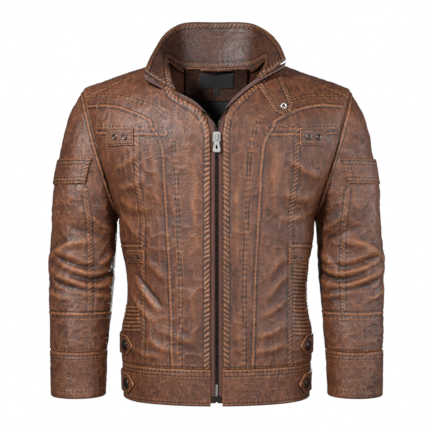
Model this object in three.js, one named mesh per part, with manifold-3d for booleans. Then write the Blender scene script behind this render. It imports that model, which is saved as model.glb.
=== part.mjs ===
// Leather riding jacket, zipped to the chest with its collar spread, in the shape that it has when worn.
// Millimetres, +Z up, the front faces -Y, and the wearer's right side lies at -X.
// Heights are counted from the hem; the last lines move the origin to the hanger loop at the neck.
import * as THREE from "three";
import { mergeVertices } from "three/addons/utils/BufferGeometryUtils.js";
import Module from "manifold-3d";

const wasm = await Module();
wasm.setup();

// ---- Driving dimensions -------------------------------------------------------------------------
const HEM_HALF_WIDTH = 166;
const HIP_HALF_WIDTH = 169;
const WAIST_HALF_WIDTH = 159;
const CHEST_HALF_WIDTH = 174;
const SHOULDER_HALF_WIDTH = 237;
const NECK_HALF_WIDTH = 88;

const WAISTBAND_HEIGHT = 62;
const HIP_HEIGHT = 105;
const WAIST_HEIGHT = 180;
const ARMPIT_HEIGHT = 320;
const ARMHOLE_MID_HEIGHT = 435;
const SHOULDER_HEIGHT = 549;
const NECK_POINT_HEIGHT = 600;

const FRONT_DEPTH = 140;
const BACK_HEM_DEPTH = 120;
const BACK_WAIST_DEPTH = 104;
const BACK_CHEST_DEPTH = 114;
const ARMHOLE_HALF_DEPTH = 70;

const LEATHER = 3.2; // leather with its backing, as made up
const CLEAR = 0.3; // air left between pieces that are sewn or laid together
const INNER_CLEAR = 1.0; // air left between curved layers inside, which follow each other in facets
const FACING = 2;
const LINING = 1.2;

const ELBOW_HEIGHT = 235;
const CUFF_HEIGHT = 85;
const CUFF_END = 6;
const SLEEVE_HALF_DEPTH = 62;
const CUFF_HALF_DEPTH = 50;
const CUFF_FORWARD = 48;
const ELBOW_FORWARD = 8;

const ZIP_BOTTOM = 18;
const FRONT_EDGE = 10; // leather edge from the middle of the zip
const TAPE_WIDTH = 17;
const TAPE = 1;
const TEETH_WIDTH = 3.2;
const TEETH = 2.6;
const SLIDER_HEIGHT = 453;
const SLIDER_LENGTH = 18;
const SLIDER_WIDTH = 13;
const PULL_LENGTH = 25;
const PULL_WIDTH = 13;

const TAB_HEIGHT = 34;
const TAB = 2.6;
const UPPER_TAB_MID = 96;
const LOWER_TAB_MID = 30;
const TAB_SEWN_ANGLE = 104; // degrees round the body from the middle of the front
const TAB_TIP_ANGLE = 58;
const BUTTON_RADIUS = 9.5;
const BUTTON_HEIGHT = 4.5;

const PATCH = 1.8;
const EYELET_HEIGHT = 1.6;

const RIGHT = -1;
const LEFT = 1;
const SIDES = [
  { sign: RIGHT, word: "right" },
  { sign: LEFT, word: "left" },
];

// ---- Finishes -----------------------------------------------------------------------------------
const leather = () => new THREE.MeshStandardMaterial({ color: 0x7b4f3a, roughness: 0.5 });
const facingLeather = () => new THREE.MeshStandardMaterial({ color: 0x6a4230, roughness: 0.55 });
const liningCloth = () => new THREE.MeshStandardMaterial({ color: 0x0d0c0d, roughness: 0.7 });
const tapeCloth = () => new THREE.MeshStandardMaterial({ color: 0x3a2018, roughness: 0.9 });
const blackMetal = () => new THREE.MeshStandardMaterial({ color: 0x15130f, roughness: 0.4, metalness: 0.8 });
const gunmetal = () => new THREE.MeshStandardMaterial({ color: 0x3a3633, roughness: 0.35, metalness: 1 });
const nickel = () => new THREE.MeshStandardMaterial({ color: 0xc8c8c6, roughness: 0.25, metalness: 1 });

// ---- Helpers ------------------------------------------------------------------------------------
const jacket = new THREE.Group();
const radians = THREE.MathUtils.degToRad;

// Value at place t on a smooth line through [place, value] pairs.
function along(knots, t) {
  if (t <= knots[0][0]) return knots[0][1];
  for (let i = 1; i < knots.length; i++) {
    const [t0, v0] = knots[i - 1];
    const [t1, v1] = knots[i];
    if (t <= t1) return v0 + (v1 - v0) * THREE.MathUtils.smootherstep(t, t0, t1);
  }
  return knots.at(-1)[1];
}

// Evenly spaced numbers from a to b.
const steps = (a, b, count) => Array.from({ length: count + 1 }, (_, i) => a + ((b - a) * i) / count);

// The solid that a closed geometry encloses.
function solid(geometry) {
  const bare = geometry.clone();
  bare.deleteAttribute("normal");
  bare.deleteAttribute("uv");
  const merged = mergeVertices(bare, 1e-4);
  const vertProperties = Float32Array.from(merged.attributes.position.array);
  const triVerts = Uint32Array.from(merged.index.array);
  return new wasm.Manifold(new wasm.Mesh({ numProp: 3, vertProperties, triVerts }));
}

// The geometry of a solid, for its mesh.
function shape(made) {
  const { vertProperties, triVerts } = made.getMesh();
  const geometry = new THREE.BufferGeometry();
  geometry.setAttribute("position", new THREE.BufferAttribute(vertProperties, 3));
  geometry.setIndex(new THREE.BufferAttribute(triVerts, 1));
  geometry.computeVertexNormals();
  return geometry;
}

// The main body of a cut, without the slivers that a cut along a curved seam can leave beside it.
function mainBody(made) {
  return made.decompose().reduce((best, one) => (one.volume() > best.volume() ? one : best));
}

function piece(name, geometry, material) {
  const mesh = new THREE.Mesh(geometry, material);
  mesh.name = name;
  jacket.add(mesh);
  return mesh;
}

// Outward normal of a surface, from small steps that stay inside its domain; turn says which way is out.
function normalOf(surface, u, v) {
  const step = 1e-3;
  const clampU = (x) => THREE.MathUtils.clamp(x, ...surface.uRange);
  const clampV = (x) => THREE.MathUtils.clamp(x, ...surface.vRange);
  const du = surface.at(clampU(u + step), v).sub(surface.at(clampU(u - step), v));
  const dv = surface.at(u, clampV(v + step)).sub(surface.at(u, clampV(v - step)));
  return du.cross(dv).normalize().multiplyScalar(surface.turn);
}

// A closed layer of a surface between two distances from it; closed joins the last column to the first.
function layer(surface, us, vs, low, high, closed = false) {
  const points = [];
  for (const distance of [low, high])
    for (const v of vs)
      for (const u of us) {
        const point = surface.at(u, v).addScaledVector(normalOf(surface, u, v), distance);
        points.push(...(surface.trim ? surface.trim(point, u, v) : point));
      }
  const columns = us.length;
  const rows = vs.length;
  const index = [];
  const id = (face, row, column) => (face * rows + row) * columns + (column % columns);
  const quad = (a, b, c, d) => index.push(a, b, c, a, c, d);
  const lastColumn = closed ? columns : columns - 1;
  for (let row = 0; row < rows - 1; row++)
    for (let column = 0; column < lastColumn; column++) {
      quad(id(1, row, column), id(1, row, column + 1), id(1, row + 1, column + 1), id(1, row + 1, column));
      quad(id(0, row, column), id(0, row + 1, column), id(0, row + 1, column + 1), id(0, row, column + 1));
    }
  const top = rows - 1;
  const end = columns - 1;
  for (let column = 0; column < lastColumn; column++) {
    quad(id(0, 0, column), id(0, 0, column + 1), id(1, 0, column + 1), id(1, 0, column));
    quad(id(1, top, column), id(1, top, column + 1), id(0, top, column + 1), id(0, top, column));
  }
  if (!closed)
    for (let row = 0; row < top; row++) {
      quad(id(0, row + 1, 0), id(0, row, 0), id(1, row, 0), id(1, row + 1, 0));
      quad(id(1, row + 1, end), id(1, row, end), id(0, row, end), id(0, row + 1, end));
    }
  return facingOut(points, index);
}

// A geometry whose faces point out, whichever way they were listed.
function facingOut(points, index) {
  const geometry = new THREE.BufferGeometry();
  geometry.setAttribute("position", new THREE.Float32BufferAttribute(points, 3));
  const corner = (i) => new THREE.Vector3().fromArray(points, 3 * i);
  let volume = 0;
  for (let i = 0; i < index.length; i += 3)
    volume += corner(index[i]).dot(corner(index[i + 1]).cross(corner(index[i + 2])));
  if (volume < 0) index.reverse();
  geometry.setIndex(index);
  geometry.computeVertexNormals();
  return geometry;
}

// A prism of an outline in X and Z that runs from the middle of the body to the front (or the back).
function prism(outline, face) {
  const flat = new THREE.Shape(outline.map(([x, z]) => new THREE.Vector2(x, z)));
  const geometry = new THREE.ExtrudeGeometry(flat, { depth: 2 * FRONT_DEPTH, bevelEnabled: false });
  geometry.rotateX(Math.PI / 2);
  if (face > 0) geometry.translate(0, 2 * FRONT_DEPTH, 0);
  return solid(geometry);
}

// ---- The body: one surface for the front and one for the back --------------------------------------
const WIDTHS = [
  [0, HEM_HALF_WIDTH],
  [HIP_HEIGHT, HIP_HALF_WIDTH],
  [WAIST_HEIGHT, WAIST_HALF_WIDTH],
  [ARMPIT_HEIGHT, CHEST_HALF_WIDTH],
];
const BACK_DEPTHS = [
  [0, BACK_HEM_DEPTH],
  [WAIST_HEIGHT, BACK_WAIST_DEPTH],
  [ARMHOLE_MID_HEIGHT, BACK_CHEST_DEPTH],
];

// Half width of the body: to the side seam below the armpit, and to the slanted armhole above it.
function halfWidth(z) {
  if (z <= ARMPIT_HEIGHT) return along(WIDTHS, z);
  const share = Math.min(1, (z - ARMPIT_HEIGHT) / (SHOULDER_HEIGHT - ARMPIT_HEIGHT));
  return CHEST_HALF_WIDTH + (SHOULDER_HALF_WIDTH - CHEST_HALF_WIDTH) * share;
}

function armholeDepth(z) {
  if (z <= ARMPIT_HEIGHT) return 0;
  const share = Math.min(1, (z - ARMPIT_HEIGHT) / (ARMHOLE_MID_HEIGHT - ARMPIT_HEIGHT));
  return ARMHOLE_HALF_DEPTH * Math.sqrt(1 - (1 - share) ** 2);
}

// Height of the shoulder line at a distance from the middle.
function shoulderLine(x) {
  const slope = (NECK_POINT_HEIGHT - SHOULDER_HEIGHT) / (SHOULDER_HALF_WIDTH - NECK_HALF_WIDTH);
  return SHOULDER_HEIGHT + (SHOULDER_HALF_WIDTH - Math.abs(x)) * slope;
}

// u runs from -1 at the right side to 1 at the left; v is 0 at the hem, 1 at the middle of the armhole
// and 2 on the shoulder line.
function body(face, seam = CLEAR / 2) {
  return {
    uRange: [-1, 1],
    vRange: [0, 2],
    turn: -face,
    at(u, v) {
      const swing = (u * Math.PI) / 2;
      const rise = v > 1 ? Math.sin(((v - 1) * Math.PI) / 2) : 0;
      const top = shoulderLine(SHOULDER_HALF_WIDTH * Math.sin(swing));
      const z = v > 1 ? ARMHOLE_MID_HEIGHT + (top - ARMHOLE_MID_HEIGHT) * rise : v * ARMHOLE_MID_HEIGHT;
      const hole = v > 1 ? ARMHOLE_HALF_DEPTH : armholeDepth(z);
      const full = face < 0 ? FRONT_DEPTH : along(BACK_DEPTHS, z);
      const depth = Math.sqrt(hole ** 2 + (full ** 2 - hole ** 2) * Math.cos(swing) ** 1.5);
      const over = Math.sqrt(1 - rise ** 2);
      return new THREE.Vector3(halfWidth(z) * Math.sin(swing), face * (depth * over + seam), z);
    },
    // No part of the leather reaches past the armhole or over the seam line.
    trim(point) {
      const edge = halfWidth(point.z);
      const x = THREE.MathUtils.clamp(point.x, -edge, edge);
      const y = face * Math.max(face * point.y, seam);
      return [point.z > ARMPIT_HEIGHT - LEATHER ? x : point.x, y, point.z];
    },
  };
}

// The place in u and v of a point of the body that is given by X and Z.
function placeOf(x, z) {
  const u = Math.asin(THREE.MathUtils.clamp(x / halfWidth(z), -1, 1)) / (Math.PI / 2);
  if (z <= ARMHOLE_MID_HEIGHT) return [u, z / ARMHOLE_MID_HEIGHT];
  const top = shoulderLine(SHOULDER_HALF_WIDTH * Math.sin((u * Math.PI) / 2));
  const rise = Math.min(1, (z - ARMHOLE_MID_HEIGHT) / (top - ARMHOLE_MID_HEIGHT));
  return [u, 1 + Math.asin(rise) / (Math.PI / 2)];
}

const front = body(-1);
const back = body(1);

// The body's surface as a function of X and Z, for what is laid on the front.
const frontByPlace = {
  uRange: [-SHOULDER_HALF_WIDTH, SHOULDER_HALF_WIDTH],
  vRange: [0, NECK_POINT_HEIGHT],
  turn: 1,
  at: (x, z) => front.at(...placeOf(x, z)),
};

// The body below the armpit as one ring: the angle in degrees runs from the middle of the front.
const ring = {
  uRange: [-180, 180],
  vRange: [0, ARMPIT_HEIGHT],
  turn: 1,
  at(angle, z) {
    const behind = Math.abs(angle) > 90;
    const u = (behind ? Math.sign(angle) * (180 - Math.abs(angle)) : angle) / 90;
    return (behind ? back : front).at(u, z / ARMHOLE_MID_HEIGHT);
  },
};

// ---- The collar ------------------------------------------------------------------------------------
const COLLAR_BASE = [
  [-72, -112, 534],
  [-80, -92, 560],
  [-NECK_HALF_WIDTH, -2, NECK_POINT_HEIGHT],
  [-62, 52, 589],
  [0, 72, 586.5],
  [62, 52, 589],
  [NECK_HALF_WIDTH, -2, NECK_POINT_HEIGHT],
  [82, -82, 575],
  [71, -106, 557],
];
const COLLAR_TOP = [
  [-125, -97, 567],
  [-114, -52, 603],
  [-94, 4, 646],
  [-62, 54, 676],
  [0, 68, 680],
  [62, 54, 676],
  [94, 4, 650],
  [111, -46, 622],
  [120, -87, 590],
];
function curveOf(points) {
  const vectors = points.map((p) => new THREE.Vector3(...p));
  return new THREE.CatmullRomCurve3(vectors, false, "centripetal");
}
const collarBase = curveOf(COLLAR_BASE);
const collarTop = curveOf(COLLAR_TOP);
const collar = {
  uRange: [0, 1],
  vRange: [0, 1],
  turn: -1,
  at: (u, v) => collarBase.getPoint(u).lerp(collarTop.getPoint(u), v),
};

const collarSteps = steps(0.006, 0.994, 24);
const standSteps = [0.012, 0.33, 0.66, 1];
const collarOuter = layer(collar, collarSteps, standSteps, CLEAR / 2, LEATHER);
const collarInner = layer(collar, collarSteps, standSteps, -LEATHER, -CLEAR / 2);
piece("collar_outer", collarOuter, leather());
piece("collar_inner", collarInner, facingLeather());

// The room that sewn-in pieces need in their neighbours: their own shapes, moved by the clearance each way.
function roomAround(geometries) {
  const moves = [-CLEAR, CLEAR].flatMap((c) => [[c, 0, 0], [0, c, 0], [0, 0, c]]);
  return geometries
    .map(solid)
    .flatMap((one) => moves.map((move) => one.translate(move)))
    .reduce((all, one) => all.add(one));
}
const collarBlock = layer(collar, collarSteps, standSteps, -LEATHER - CLEAR, LEATHER + CLEAR);
const collarRoom = roomAround([collarOuter, collarInner, collarBlock]);

// ---- Zip ---------------------------------------------------------------------------------------------
// Line of the teeth's inner edge on each side: straight up to the slider, then out along the open front
// and the front edge of the collar.
const OPEN_ZIP = {
  right: [
    [-3, -139, SLIDER_HEIGHT + 22],
    [-22, -132, 496],
    [-66, -116, 521],
    [-121, -101, 551],
  ],
  left: [
    [2, -139, SLIDER_HEIGHT + 22],
    [15, -134, 499],
    [62, -114, 541],
    [116, -91, 574],
  ],
};
const FRONT_PLANE = -FRONT_DEPTH - CLEAR / 2;
const teethLine = (sign, word) => {
  const heights = [ZIP_BOTTOM, 120, 240, 360, SLIDER_HEIGHT - 6];
  const straight = heights.map((z) => [sign * CLEAR, FRONT_PLANE + LEATHER, z]);
  const open = OPEN_ZIP[word].map(([x, y, z]) => [x, y + LEATHER, z]);
  return curveOf([...straight, ...open]);
};

// A ribbon beside the line of the teeth: u runs up the line, v is the distance from it in millimetres.
// Low down it lies flat across the front; along the open edge it turns with the leaf that it is sewn to.
function ribbon(sign, word) {
  const line = teethLine(sign, word);
  return {
    uRange: [0, 1],
    vRange: [-5, 30],
    turn: -sign,
    at(u, v) {
      const point = line.getPoint(u);
      const rise = THREE.MathUtils.smoothstep(point.z, SLIDER_HEIGHT, SLIDER_HEIGHT + 60);
      const flat = new THREE.Vector3(sign, 0, 0);
      const leaf = new THREE.Vector3(sign * 0.25, 0.62, 0.74);
      return point.addScaledVector(flat.lerp(leaf, rise).normalize(), v);
    },
  };
}

const zipRoom = {};
const zipSteps = [0, ...steps(0.5, 1, 9)];
for (const { sign, word } of SIDES) {
  const strip = ribbon(sign, word);
  const teeth = layer(strip, zipSteps, [0, TEETH_WIDTH], -TEETH / 2, TEETH / 2);
  piece(`${word}_zip_teeth`, teeth, blackMetal());
  const tapeTop = -INNER_CLEAR - CLEAR;
  const band = layer(strip, zipSteps, [TEETH_WIDTH + INNER_CLEAR, TAPE_WIDTH], tapeTop - TAPE, tapeTop);
  const tape = shape(mainBody(solid(band).subtract(collarRoom)));
  piece(`${word}_zip_tape`, tape, tapeCloth());
  zipRoom[word] = roomAround([teeth, tape]);
}

// ---- Front panels, cut from the front along their seams ----------------------------------------------
// Half outlines, as [distance from the middle, height]. The strip seams run from the hem up to the armhole.
const INNER_SEAM = [
  [54, 0],
  [54, 223],
  [60, 361],
  [62, 411],
  [68, 450],
  [80, 484],
  [97, 505],
  [147, 523],
  [183, 530],
  [300, 527],
];
const STRIP_WIDTH = [
  [0, 17],
  [223, 22],
  [411, 24],
  [450, 24],
  [484, 30],
  [505, 28],
  [530, 22],
];
const ABOVE = 700; // a height over everything, where outlines close
const V_EDGES = {
  right: [
    [FRONT_EDGE, SLIDER_HEIGHT + 8],
    [17, 488],
    [33, 508],
    [72, 533],
    [80, 560],
    [NECK_HALF_WIDTH, NECK_POINT_HEIGHT],
    [NECK_HALF_WIDTH, ABOVE],
  ],
  left: [
    [FRONT_EDGE, SLIDER_HEIGHT + 8],
    [14, 488],
    [26, 513],
    [71, 556],
    [82, 575],
    [NECK_HALF_WIDTH, NECK_POINT_HEIGHT],
    [NECK_HALF_WIDTH, ABOVE],
  ],
};
const SIDE_SEAM_X = 126;
const SIDE_PANEL_TOP = 268;
const FAR = 320; // a distance outside everything, where outlines close

// The outer seam of the strip lies a strip's width outside the inner one, measured square to it.
function shifted(line, distanceAt) {
  return line.map(([x, z], i) => {
    const [x0, z0] = line[Math.max(0, i - 1)];
    const [x1, z1] = line[Math.min(line.length - 1, i + 1)];
    const length = Math.hypot(x1 - x0, z1 - z0);
    const distance = distanceAt(z);
    return [x + ((z1 - z0) / length) * distance, z - ((x1 - x0) / length) * distance];
  });
}
const outerSeam = shifted(INNER_SEAM, (z) => along(STRIP_WIDTH, z));
const mirrored = (outline, sign) => outline.map(([x, z]) => [sign * x, z]);

const bodyColumns = steps(0, 1, 11);
const lowHeights = [WAISTBAND_HEIGHT + CLEAR, HIP_HEIGHT, 140, WAIST_HEIGHT, 230, 280];
const armholeHeights = [ARMPIT_HEIGHT, 330, 350, 385];
const bodyRows = [...lowHeights, ...armholeHeights].map((z) => z / ARMHOLE_MID_HEIGHT).concat(steps(1, 2, 8));

for (const { sign, word } of SIDES) {
  const columns = bodyColumns.map((u) => sign * u);
  const half = solid(layer(front, columns, bodyRows, -LEATHER, 0));
  const sheet = half.subtract(collarRoom).subtract(zipRoom[word]);
  const cut = (outline) => shape(mainBody(sheet.intersect(prism(mirrored(outline, sign), -1))));
  const innerEdge = shifted(INNER_SEAM, () => -CLEAR / 2);
  const stripIn = shifted(INNER_SEAM, () => CLEAR / 2);
  const stripOut = shifted(outerSeam, () => -CLEAR / 2);
  const panelEdge = shifted(outerSeam, () => CLEAR / 2);
  const frontOutline = [[FRONT_EDGE, 0], ...innerEdge, [FAR, ABOVE], ...V_EDGES[word].toReversed()];
  const stripOutline = [...stripIn, ...stripOut.toReversed()];
  const chestLow = SIDE_PANEL_TOP + CLEAR;
  const chestOutline = [...panelEdge, [FAR, chestLow], [SIDE_SEAM_X, chestLow], [SIDE_SEAM_X - CLEAR, 0]];
  const sideOutline = [[SIDE_SEAM_X, 0], [SIDE_SEAM_X, SIDE_PANEL_TOP], [FAR, SIDE_PANEL_TOP], [FAR, 0]];
  piece(`${word}_front_panel`, cut(frontOutline), leather());
  piece(`${word}_front_strip`, cut(stripOutline), leather());
  piece(`${word}_chest_panel`, cut(chestOutline), leather());
  piece(`${word}_side_panel`, cut(sideOutline), leather());
}

// ---- Back, waistband -----------------------------------------------------------------------------------
const YOKE_HEIGHT = 455;
const backSheet = solid(layer(back, steps(-1, 1, 20), bodyRows, -LEATHER, 0)).subtract(collarRoom);
const backNeck = [
  [NECK_HALF_WIDTH + 4, ABOVE],
  [NECK_HALF_WIDTH - 2, 597],
  [62, 588],
  [0, 585.5],
];
const backTop = [...backNeck, ...mirrored(backNeck, -1).toReversed().slice(1)];
const yokeLow = YOKE_HEIGHT + CLEAR;
const backYoke = [[FAR, yokeLow], [FAR, ABOVE], ...backTop, [-FAR, ABOVE], [-FAR, yokeLow]];
piece("back_yoke", shape(mainBody(backSheet.intersect(prism(backYoke, 1)))), leather());
const backBlock = [[-FAR, 0], [FAR, 0], [FAR, YOKE_HEIGHT], [-FAR, YOKE_HEIGHT]];
piece("back_panel", shape(mainBody(backSheet.intersect(prism(backBlock, 1)))), leather());

const bandRows = [0, WAISTBAND_HEIGHT / 2, WAISTBAND_HEIGHT].map((z) => z / ARMHOLE_MID_HEIGHT);
const edgeU = (x) => placeOf(x, WAISTBAND_HEIGHT)[0];
for (const { sign, word } of SIDES) {
  const columns = steps(edgeU(FRONT_EDGE), 1, 8).map((u) => sign * u);
  piece(`${word}_waistband`, layer(front, columns, bandRows, -LEATHER, 0), leather());
}
piece("back_waistband", layer(back, steps(-1, 1, 16), bandRows, -LEATHER, 0), leather());

// ---- Inside: facing, lining, label, size tab, hanger loop -----------------------------------------------
const FACING_LOW = 538;
const FACING_HIGH = 596;
const FACING_HALF_WIDTH = 58;
const facingSteps = steps(-FACING_HALF_WIDTH, FACING_HALF_WIDTH, 8);
const backByPlace = {
  uRange: [-SHOULDER_HALF_WIDTH, SHOULDER_HALF_WIDTH],
  vRange: [0, NECK_POINT_HEIGHT],
  turn: -1,
  at: (x, z) => back.at(...placeOf(x, z)),
};
const facingTop = -LEATHER - INNER_CLEAR;
const facingRows = steps(FACING_LOW, FACING_HIGH, 6);
const neckFacing = solid(layer(backByPlace, facingSteps, facingRows, facingTop - FACING, facingTop));
piece("neck_facing", shape(mainBody(neckFacing.subtract(collarRoom))), facingLeather());

const LABEL = 1;
const LABEL_WIDTH = 66;
const LABEL_LOW = 562;
const LABEL_HIGH = 588;
const SIZE_TAB_HEIGHT = 12;
const labelTop = facingTop - FACING - CLEAR * 2;
const labelSteps = steps(-LABEL_WIDTH / 2, LABEL_WIDTH / 2, 4);
const label = layer(backByPlace, labelSteps, [LABEL_LOW, LABEL_HIGH], labelTop - LABEL, labelTop);
piece("neck_label", label, liningCloth());
const sizeRows = [LABEL_LOW - SIZE_TAB_HEIGHT, LABEL_LOW - CLEAR];
piece("size_tab", layer(backByPlace, [-5, 6], sizeRows, labelTop - LABEL, labelTop), liningCloth());

const LINING_LOW = 24;
const liningRows = [LINING_LOW / ARMHOLE_MID_HEIGHT, ...bodyRows.filter((v) => v < 1.35)];
const liningHigh = facingTop - CLEAR;
// The lining's front, sides and back reach a little into each other, so that they join into one piece.
const overlap = -LINING;
const lined = (surface, us, vs) => solid(layer(surface, us, vs, liningHigh - LINING, liningHigh));
const frontLining = SIDES.map(({ sign }) => {
  const columns = steps(0.1, 0.985, 8).map((u) => sign * u);
  return lined(body(-1, overlap), columns, liningRows);
});
const sideRows = liningRows.map((v) => v * ARMHOLE_MID_HEIGHT).filter((z) => z < ARMPIT_HEIGHT);
const sideLining = SIDES.map(({ sign }) => lined(ring, steps(84, 96, 4).map((a) => sign * a), sideRows));
const backLining = lined(body(1, overlap), steps(-0.985, 0.985, 14), liningRows);
const liningSolid = [...frontLining, ...sideLining].reduce((all, one) => all.add(one), backLining);
const liningCut = liningSolid.subtract(zipRoom.right).subtract(zipRoom.left).subtract(collarRoom);
piece("body_lining", shape(mainBody(liningCut)), liningCloth());

// ---- Sleeves -----------------------------------------------------------------------------------------
// Each ring of a sleeve is an ellipse from its inner point to its outer point, as [x, z, x, z], with
// half its depth and the distance that its middle lies forward. The first ring lies in the armhole.
const SLEEVE_RINGS = [
  [CHEST_HALF_WIDTH, ARMPIT_HEIGHT, SHOULDER_HALF_WIDTH, SHOULDER_HEIGHT, ARMHOLE_HALF_DEPTH, 0],
  [CHEST_HALF_WIDTH + 2, ARMPIT_HEIGHT - 3, 262, 503, 70, 1],
  [CHEST_HALF_WIDTH + 3, ARMPIT_HEIGHT - 7, 279, 437, 69, 3],
  [CHEST_HALF_WIDTH + 5, ARMPIT_HEIGHT - 14, 291, 370, 67, 5],
  [CHEST_HALF_WIDTH + 6, ARMPIT_HEIGHT - 30, 294, 312, 65, 6],
  [CHEST_HALF_WIDTH + 7, ARMPIT_HEIGHT - 56, 297, 268, 63, 7],
  [CHEST_HALF_WIDTH + 8, ELBOW_HEIGHT, 299, ELBOW_HEIGHT, SLEEVE_HALF_DEPTH, ELBOW_FORWARD],
  [CHEST_HALF_WIDTH + 11, 190, 298, 190, 60, 14],
  [CHEST_HALF_WIDTH + 15, 140, 295, 140, 56, 26],
  [CHEST_HALF_WIDTH + 19, CUFF_HEIGHT, 293, CUFF_HEIGHT, 52, 38],
  [CHEST_HALF_WIDTH + 21, CUFF_END, 290, CUFF_END, CUFF_HALF_DEPTH, CUFF_FORWARD],
];
const ELBOW_RING = 6;
const CUFF_RING = 9;
const LAST_RING = SLEEVE_RINGS.length - 1;

// u is the angle round the sleeve in degrees, from the armpit to the front; v counts the rings.
function sleeve(sign) {
  return {
    uRange: [-360, 720],
    vRange: [0, LAST_RING],
    turn: -sign,
    at(u, v) {
      const low = Math.min(Math.floor(v), LAST_RING - 1);
      const mix = SLEEVE_RINGS[low].map((a, i) => a + (SLEEVE_RINGS[low + 1][i] - a) * (v - low));
      const [xi, zi, xo, zo, depth, forward] = mix;
      const lean = -Math.cos(radians(u));
      const x = (xi + xo) / 2 + (lean * (xo - xi)) / 2;
      const z = (zi + zo) / 2 + (lean * (zo - zi)) / 2;
      return new THREE.Vector3(sign * x, -forward - depth * Math.sin(radians(u)), z);
    },
    // No part of the sleeve reaches in past the armhole.
    trim(point) {
      const edge = point.z > ARMPIT_HEIGHT - LEATHER ? halfWidth(point.z) + CLEAR : 0;
      return [sign * Math.max(sign * point.x, edge), point.y, point.z];
    },
  };
}

const SLEEVE_SIDES = 20;
const around = steps(0, 360, SLEEVE_SIDES).slice(0, -1);
const RING_GAP = 0.006; // share of a ring's step that is left open beside a seam
const FLAP = { low: 376, high: 421, from: 90, to: 234 }; // heights, and angles round the sleeve
const flapOff = 0.9; // distance that the flap stands off the sleeve

// How many rings down a height lies on a sleeve, at an angle round it.
function ringAt(tube, u, z) {
  let above = 0;
  let below = LAST_RING;
  while (below - above > 1e-6) {
    const middle = (above + below) / 2;
    if (tube.at(u, middle).z > z) above = middle;
    else below = middle;
  }
  return above;
}

for (const { sign, word } of SIDES) {
  const tube = sleeve(sign);
  const part = (rings) => layer(tube, around, rings, -LEATHER, 0, true);
  const whole = (a, b) => steps(a, b, b - a);
  piece(`${word}_upper_sleeve`, part([...whole(0, ELBOW_RING - 1), ELBOW_RING - RING_GAP]), leather());
  const forearm = [ELBOW_RING + RING_GAP, ...whole(ELBOW_RING + 1, CUFF_RING - 1), CUFF_RING - RING_GAP];
  piece(`${word}_forearm_sleeve`, part(forearm), leather());
  piece(`${word}_cuff`, part([CUFF_RING, LAST_RING]), leather());
  // u is the angle round the sleeve, v the height.
  const level = {
    uRange: tube.uRange,
    vRange: [FLAP.low, FLAP.high],
    turn: sign,
    at: (u, z) => tube.at(u, ringAt(tube, u, z)),
  };
  const flapSteps = steps(FLAP.from, FLAP.to, 8);
  const flap = layer(level, flapSteps, steps(FLAP.low, FLAP.high, 5), flapOff, flapOff + PATCH);
  piece(`${word}_arm_flap`, flap, leather());
}

// Slider: a rounded plate in front of the teeth, with a rail down each side and a bridge for the pull.
const rounded = (width, height, radius) => {
  const outline = new THREE.Shape();
  const x = width / 2;
  const y = height / 2;
  outline.moveTo(-x + radius, -y);
  outline.lineTo(x - radius, -y).absarc(x - radius, -y + radius, radius, -Math.PI / 2, 0);
  outline.lineTo(x, y - radius).absarc(x - radius, y - radius, radius, 0, Math.PI / 2);
  outline.lineTo(-x + radius, y).absarc(-x + radius, y - radius, radius, Math.PI / 2, Math.PI);
  outline.lineTo(-x, -y + radius).absarc(-x + radius, -y + radius, radius, Math.PI, 1.5 * Math.PI);
  return outline;
};
const plate = (outline, depth) => {
  const geometry = new THREE.ExtrudeGeometry(outline, { depth, bevelEnabled: false, curveSegments: 4 });
  return geometry.rotateX(Math.PI / 2);
};
const box = (width, depth, height, x, y, z) => new THREE.BoxGeometry(width, depth, height).translate(x, y, z);

const teethFront = FRONT_PLANE + LEATHER - TEETH / 2;
const SLIDER_PLATE = 2.2;
const sliderBack = teethFront - 2 * CLEAR;
const sliderOutline = rounded(SLIDER_WIDTH, SLIDER_LENGTH, 4);
const sliderPlate = plate(sliderOutline, SLIDER_PLATE).translate(0, sliderBack, SLIDER_HEIGHT);
const RAIL = 1.2;
const railX = SLIDER_WIDTH / 2 - RAIL / 2 - 0.4;
const rail = (side) => box(RAIL, 1.8, SLIDER_LENGTH - 9, side * railX, sliderBack + 0.8, SLIDER_HEIGHT);
const BRIDGE = 1.8;
const bridgeFront = sliderBack - SLIDER_PLATE;
const bridgeFoot = (z) => box(3.4, 3.2, BRIDGE, 0, bridgeFront - 1.4, SLIDER_HEIGHT + z);
const bridgeBar = box(3.4, 1.2, 11, 0, bridgeFront - 3.2, SLIDER_HEIGHT);
const sliderParts = [rail(-1), rail(1), bridgeFoot(4.6), bridgeFoot(-4.6), bridgeBar].map(solid);
piece("zip_slider", shape(sliderParts.reduce((all, one) => all.add(one), solid(sliderPlate))), nickel());

// Pull: a flat tag that flares to its round end; its upper bar passes under the slider's bridge.
const PULL = 1.6;
const BRIDGE_GAP = 2.6; // from the plate to the bridge's bar, where the pull's upper bar turns
const pullY = bridgeFront - BRIDGE_GAP / 2 + PULL / 2;
const PULL_EYE = SLIDER_HEIGHT - 0.4;
const tag = new THREE.Shape();
tag.moveTo(-3.6, 3);
tag.lineTo(-3.6, -6);
tag.lineTo(-PULL_WIDTH / 2, -PULL_LENGTH + 4);
tag.quadraticCurveTo(-PULL_WIDTH / 2, -PULL_LENGTH, -PULL_WIDTH / 2 + 4, -PULL_LENGTH);
tag.lineTo(PULL_WIDTH / 2 - 4, -PULL_LENGTH);
tag.quadraticCurveTo(PULL_WIDTH / 2, -PULL_LENGTH, PULL_WIDTH / 2, -PULL_LENGTH + 4);
tag.lineTo(3.6, -6);
tag.lineTo(3.6, 3);
const eye = new THREE.Path();
eye.moveTo(-2.2, 1.4);
eye.lineTo(2.2, 1.4);
eye.lineTo(2.2, -6.4);
eye.lineTo(-2.2, -6.4);
const slot = new THREE.Path();
slot.absellipse(0, -PULL_LENGTH + 8.5, 1.8, 4, 0, 2 * Math.PI);
tag.holes.push(eye, slot);
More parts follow.
